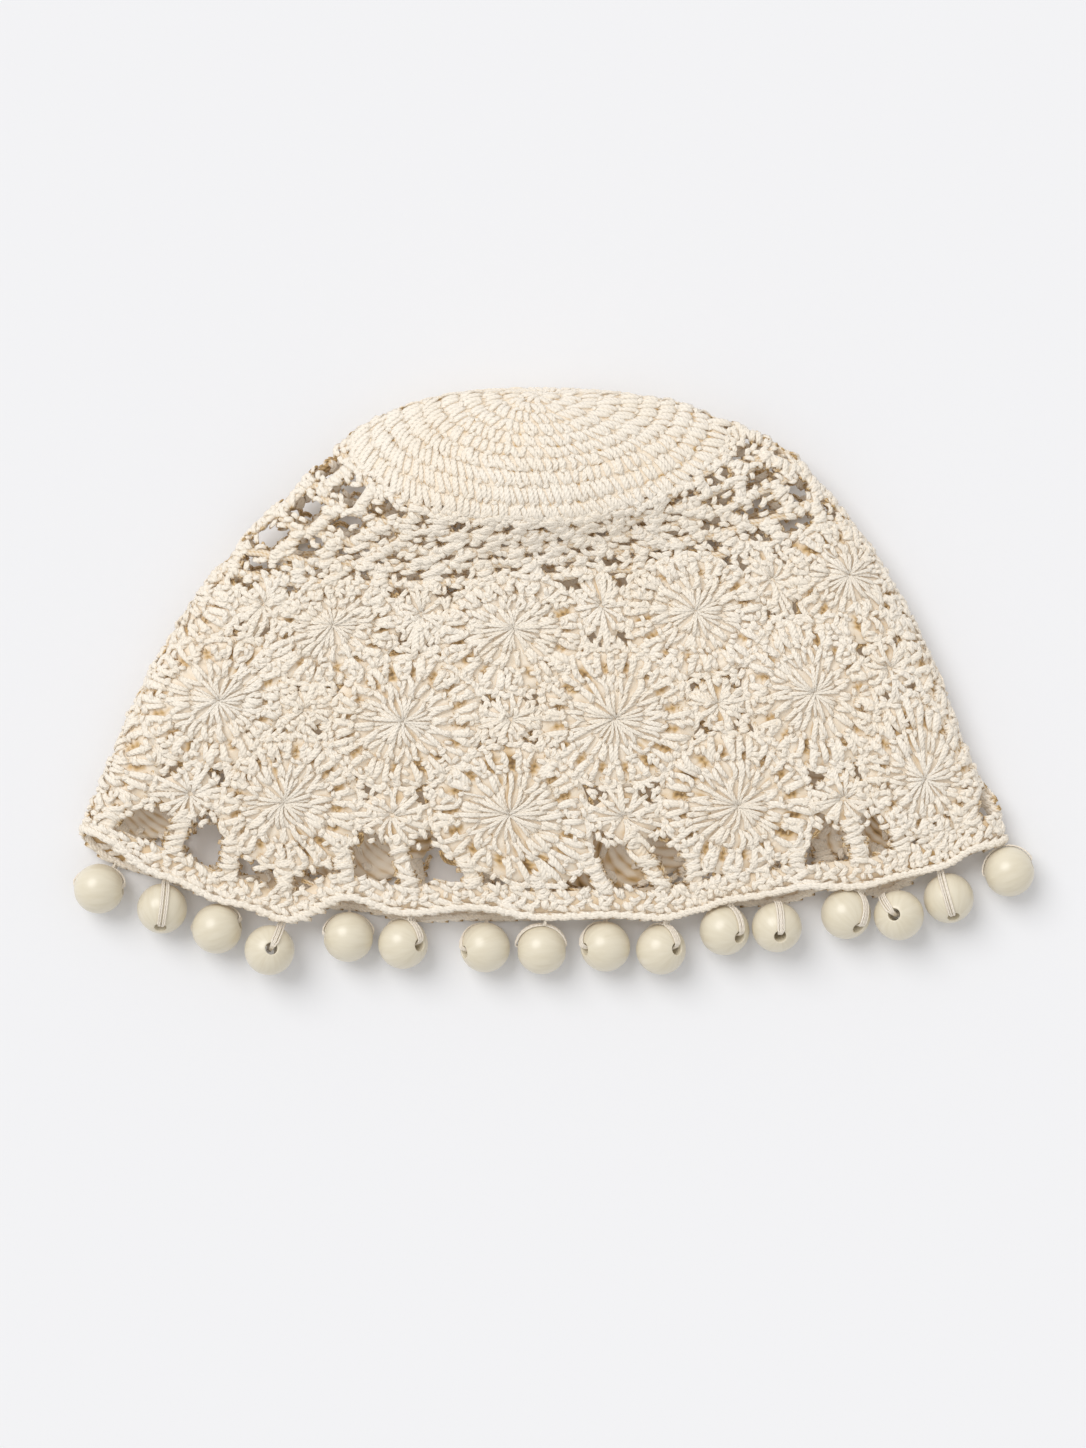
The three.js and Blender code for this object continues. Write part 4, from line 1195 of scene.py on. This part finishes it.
@dataclass
class Bead:
    """One round wooden bead, bored through, with the strands that tie it to the rim."""

    form: CapForm
    edging: Edging
    number: int
    diameter: float = 15.0
    thread: float = 1.3
    join: float = 0.3
    strands: int = 4
    strand_radius: float = 0.28
    strand_gap: float = 0.62
    strand_lay: float = 0.42
    full_light: float = 1.6

    def hang(self) -> tuple:
        """Works out where the bead hangs, as the frame has it.

        Returns:
            Its middle, the way of its bore, the way to the rim and the rim's point.
        """
        spot = BEADS[self.number - 1]
        column = np.array(float(spot.column))
        level = self.edging.rim(column)
        anchor = self.form.point(column, level)
        outward = anchor - self.form.point(column, level - 0.1)
        outward[2] = 0.0
        outward = unit(outward)
        tilt = math.radians(spot.lean)
        turn = np.array([[math.cos(tilt), -math.sin(tilt), 0.0], [math.sin(tilt), math.cos(tilt), 0.0],
                         [0.0, 0.0, 1.0]])
        outward = turn @ outward
        pitch, heading = math.radians(spot.elevation), math.radians(spot.azimuth)
        bore = np.array([math.cos(pitch) * math.cos(heading), math.cos(pitch) * math.sin(heading),
                         math.sin(pitch)])
        radius = self.diameter / 2.0
        height = max(radius, (radius + 2.0 * self.thread) * math.sin(pitch))
        clear = radius + (1.4 + abs(math.sin(tilt)) / 2.0) * self.thread + self.join
        climb = height - anchor[2]
        distance = clear + self.form.fabric / 3.0 * abs(climb / clear)
        middle = anchor + outward * math.sqrt(distance * distance - climb * climb)
        middle[2] = height
        return middle, bore, unit(anchor - middle), anchor

    def build(self, pattern: bpy.types.Object, cotton: bpy.types.Material) -> None:
        """Copies the modelled bead to its place and ties it.

        Args:
            pattern: The bead modelled once, with its bore along Z.
            cotton: Finish of the thread.
        """
        middle, bore, to_rim, anchor = self.hang()
        name = f"bead_{self.number}"
        mesh = pattern.data.copy()
        turn = Vector((0.0, 0.0, 1.0)).rotation_difference(Vector(bore)).to_matrix().to_4x4()
        mesh.transform(turn)
        low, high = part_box(name)
        place = (low + high) / 2.0
        for vertex in mesh.vertices:
            vertex.co += place
        piece = bpy.data.objects.new(name + "_round", mesh)
        bpy.context.scene.collection.objects.link(piece)
        dress(piece, (name,))
        self.tie(middle, bore, to_rim, anchor, cotton)

    def tie(self, middle: np.ndarray, bore: np.ndarray, to_rim: np.ndarray, anchor: np.ndarray,
            cotton: bpy.types.Material) -> None:
        """Ties the bead with a few strands through its bore and back to the rim.

        Args:
            middle: Middle of the bead.
            bore: Way of its bore.
            to_rim: Way from the bead to the rim.
            anchor: The rim's point that it hangs on.
            cotton: Finish of the thread.
        """
        radius = self.diameter / 2.0
        lay = radius + self.strand_lay
        sideways = unit(to_rim - np.dot(to_rim, bore) * bore)
        across = np.cross(bore, sideways)
        spread = math.acos(np.clip(np.dot(to_rim, bore), -1.0, 1.0))
        mouth = ((0.2, lay - 0.15), (0.1, radius - 0.6), (0.0, radius - 2.5))
        reach = [1.0] * 7 + [0.7, 0.5, 0.4]
        work = YarnWork(self.form, 500 + self.number)
        paths = []
        for strand in range(self.strands):
            aside = (strand - (self.strands - 1) / 2.0) * self.strand_gap + work.random.normal(0.0, 0.1)
            root = anchor - middle + to_rim * 1.6 + across * aside * 0.7 + np.array([0.0, 0.0, 0.5])
            legs = []
            for end, angle in ((1.0, spread), (-1.0, math.pi - spread)):
                stops = [(share * (angle - 0.03) + (1.0 - share) * 0.3, lay)
                         for share in np.linspace(1.0, 0.0, 7)]
                leg = [self.at(bore, sideways, end, *stop) for stop in (*stops, *mouth)]
                legs.append([root] + [point + across * aside * wide for point, wide in zip(leg, reach)])
            paths.append(np.array(legs[0] + legs[1][::-1]) + middle)
        path = np.array(paths)
        thickness = self.strand_radius * work.random.uniform(0.9, 1.1, (len(path), 1))
        thickness = thickness + np.zeros(path.shape[:2])
        work.tube(path, np.broadcast_to(across, path.shape), thickness,
                  lambda points: np.full(points.shape[:3], self.full_light), flat=1.0, groove=1.0)
        name = f"bead_thread_{self.number}"
        work.finish(name + "_strands", (name,), "bead_thread", cotton)

    @staticmethod
    def at(bore: np.ndarray, sideways: np.ndarray, end: float, angle: float, distance: float) -> np.ndarray:
        """Gives a point round the bead from one end of its bore.

        Args:
            bore: Way of the bore.
            sideways: Way across the bore, towards the rim.
            end: 1 or -1 for the bore's two ends.
            angle: Angle from that end, in radians.
            distance: Distance from the bead's middle.

        Returns:
            The point, counted from the bead's middle.
        """
        return bore * end * distance * math.cos(angle) + sideways * distance * math.sin(angle)


@dataclass
class BeadPattern:
    """The bead modelled once: a ball with its bore along Z and softened mouths."""

    diameter: float = 15.0
    bore: float = 3.4
    sides: int = 36
    rings: int = 26
    softening: float = 0.35
    sharpest: float = 40.0

    def build(self, wood: bpy.types.Material) -> bpy.types.Object:
        """Models the bead and returns it, to be copied and then removed."""
        bpy.ops.object.select_all(action="DESELECT")
        radius = self.diameter / 2.0 * MM
        bpy.ops.mesh.primitive_uv_sphere_add(segments=self.sides, ring_count=self.rings, radius=radius)
        ball = bpy.context.active_object
        mouth = self.bore / 2.0 * MM
        height = math.sqrt(radius * radius - mouth * mouth)
        bpy.ops.object.mode_set(mode="EDIT")
        bpy.ops.mesh.select_mode(type="FACE")
        bpy.ops.mesh.select_all(action="DESELECT")
        bpy.ops.object.mode_set(mode="OBJECT")
        for polygon in ball.data.polygons:
            polygon.select = abs(polygon.center.z) > height * 0.995
        bpy.ops.object.mode_set(mode="EDIT")
        bpy.ops.mesh.delete(type="FACE")
        bpy.ops.mesh.select_all(action="SELECT")
        bpy.ops.mesh.select_mode(type="EDGE")
        bpy.ops.mesh.region_to_loop()
        bpy.ops.mesh.bridge_edge_loops()
        bpy.ops.object.mode_set(mode="OBJECT")
        bevel = ball.modifiers.new("mouths", "BEVEL")
        bevel.width = self.softening * MM
        bevel.segments = 3
        bevel.angle_limit = math.radians(self.sharpest)
        bpy.ops.object.modifier_apply(modifier=bevel.name)
        bpy.ops.object.mode_set(mode="EDIT")
        bpy.ops.mesh.select_all(action="SELECT")
        bpy.ops.mesh.normals_make_consistent(inside=False)
        bpy.ops.object.mode_set(mode="OBJECT")
        bpy.ops.object.shade_smooth()
        ball.data.materials.append(wood)
        # The bore mask marks the bare wood and its painted glow.
        inside = [math.hypot(vertex.co.x, vertex.co.y) < 1.02 * mouth for vertex in ball.data.vertices]
        bore = ball.data.attributes.new("bore", "FLOAT", "POINT")
        bore.data.foreach_set("value", np.array(inside, dtype=np.float32))
        return ball


@dataclass
class Studio:
    """Pale tabletop, soft light from the upper left and the camera straight above."""

    form: CapForm
    floor_size: float = 3.0
    lens: float = 85.0
    frame_height: float = 0.4344
    sensor: float = 36.0
    aim: tuple = (0.6, -99.6)
    crown_height: float = 8.0
    room: float = 0.66
    window: float = 1.5
    softness: float = 40.0
    light_from: tuple = (-0.55, 0.6, 1.0)

    def build(self) -> None:
        """Sets the floor, the lights and the camera."""
        bpy.ops.object.select_all(action="DESELECT")
        bpy.ops.mesh.primitive_plane_add(size=self.floor_size, location=(0.0, 0.0, 0.0))
        floor = bpy.context.active_object
        floor.name = "tabletop"
        floor.data.materials.append(TableFinish().make())
        self.sun()
        world = bpy.data.worlds.new("soft_room")
        world.use_nodes = True
        world.node_tree.nodes["Background"].inputs["Color"].default_value = (1.0, 1.0, 1.0, 1.0)
        world.node_tree.nodes["Background"].inputs["Strength"].default_value = self.room
        bpy.context.scene.world = world
        bpy.context.scene.view_settings.view_transform = "Standard"
        self.camera()

    def sun(self) -> None:
        """Adds the soft window light from the upper left."""
        data = bpy.data.lights.new("window", "SUN")
        data.angle = math.radians(self.softness)
        data.energy = self.window
        lamp = bpy.data.objects.new("window", data)
        lamp.rotation_euler = (-Vector(self.light_from)).to_track_quat("-Z", "Y").to_euler()
        bpy.context.scene.collection.objects.link(lamp)

    def camera(self) -> None:
        """Adds the camera straight above the cap."""
        data = bpy.data.cameras.new("overhead")
        data.lens = self.lens
        data.sensor_width = self.sensor
        camera = bpy.data.objects.new("overhead", data)
        distance = self.frame_height * self.lens / self.sensor + self.crown_height * MM
        camera.location = ((self.aim[0] + self.form.shift[0]) * MM, (self.aim[1] + self.form.shift[1]) * MM,
                           distance)
        bpy.context.scene.collection.objects.link(camera)
        bpy.context.scene.camera = camera


def framed_form() -> CapForm:
    """Returns the cap's form shifted to where the frame's beads lie."""
    loose = CapForm()
    edging = Edging(loose)
    offsets = []
    for number in range(1, BEAD_COUNT + 1):
        low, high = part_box(f"bead_{number}")
        place = (low + high) / 2.0 / MM
        middle = Bead(loose, edging, number).hang()[0]
        offsets.append((place.x - middle[0], place.y - middle[1]))
    shift = np.mean(offsets, axis=0)
    LOG.info("form shift %s, spread %s", shift, np.ptp(offsets, axis=0))
    return CapForm(shift=(float(shift[0]), float(shift[1])))


def main() -> None:
    """Builds every piece in order and reports it."""
    logging.basicConfig(level=logging.INFO, format="%(name)s %(message)s")
    form = framed_form()
    Studio(form).build()
    cotton = CottonFinish().make()
    wood = BeadFinish().make()
    Crown(form).build(cotton)
    OpenNet(form).build(cotton)
    for row in MotifRow:
        for number in range(MOTIFS_PER_ROW):
            RoundMotif(form, row, number).build(cotton)
    edging = Edging(form)
    edging.build(cotton)
    pattern = BeadPattern().build(wood)
    for number in range(1, BEAD_COUNT + 1):
        Bead(form, edging, number).build(pattern, cotton)
    bpy.data.objects.remove(pattern)


if __name__ == "__main__":
    main()
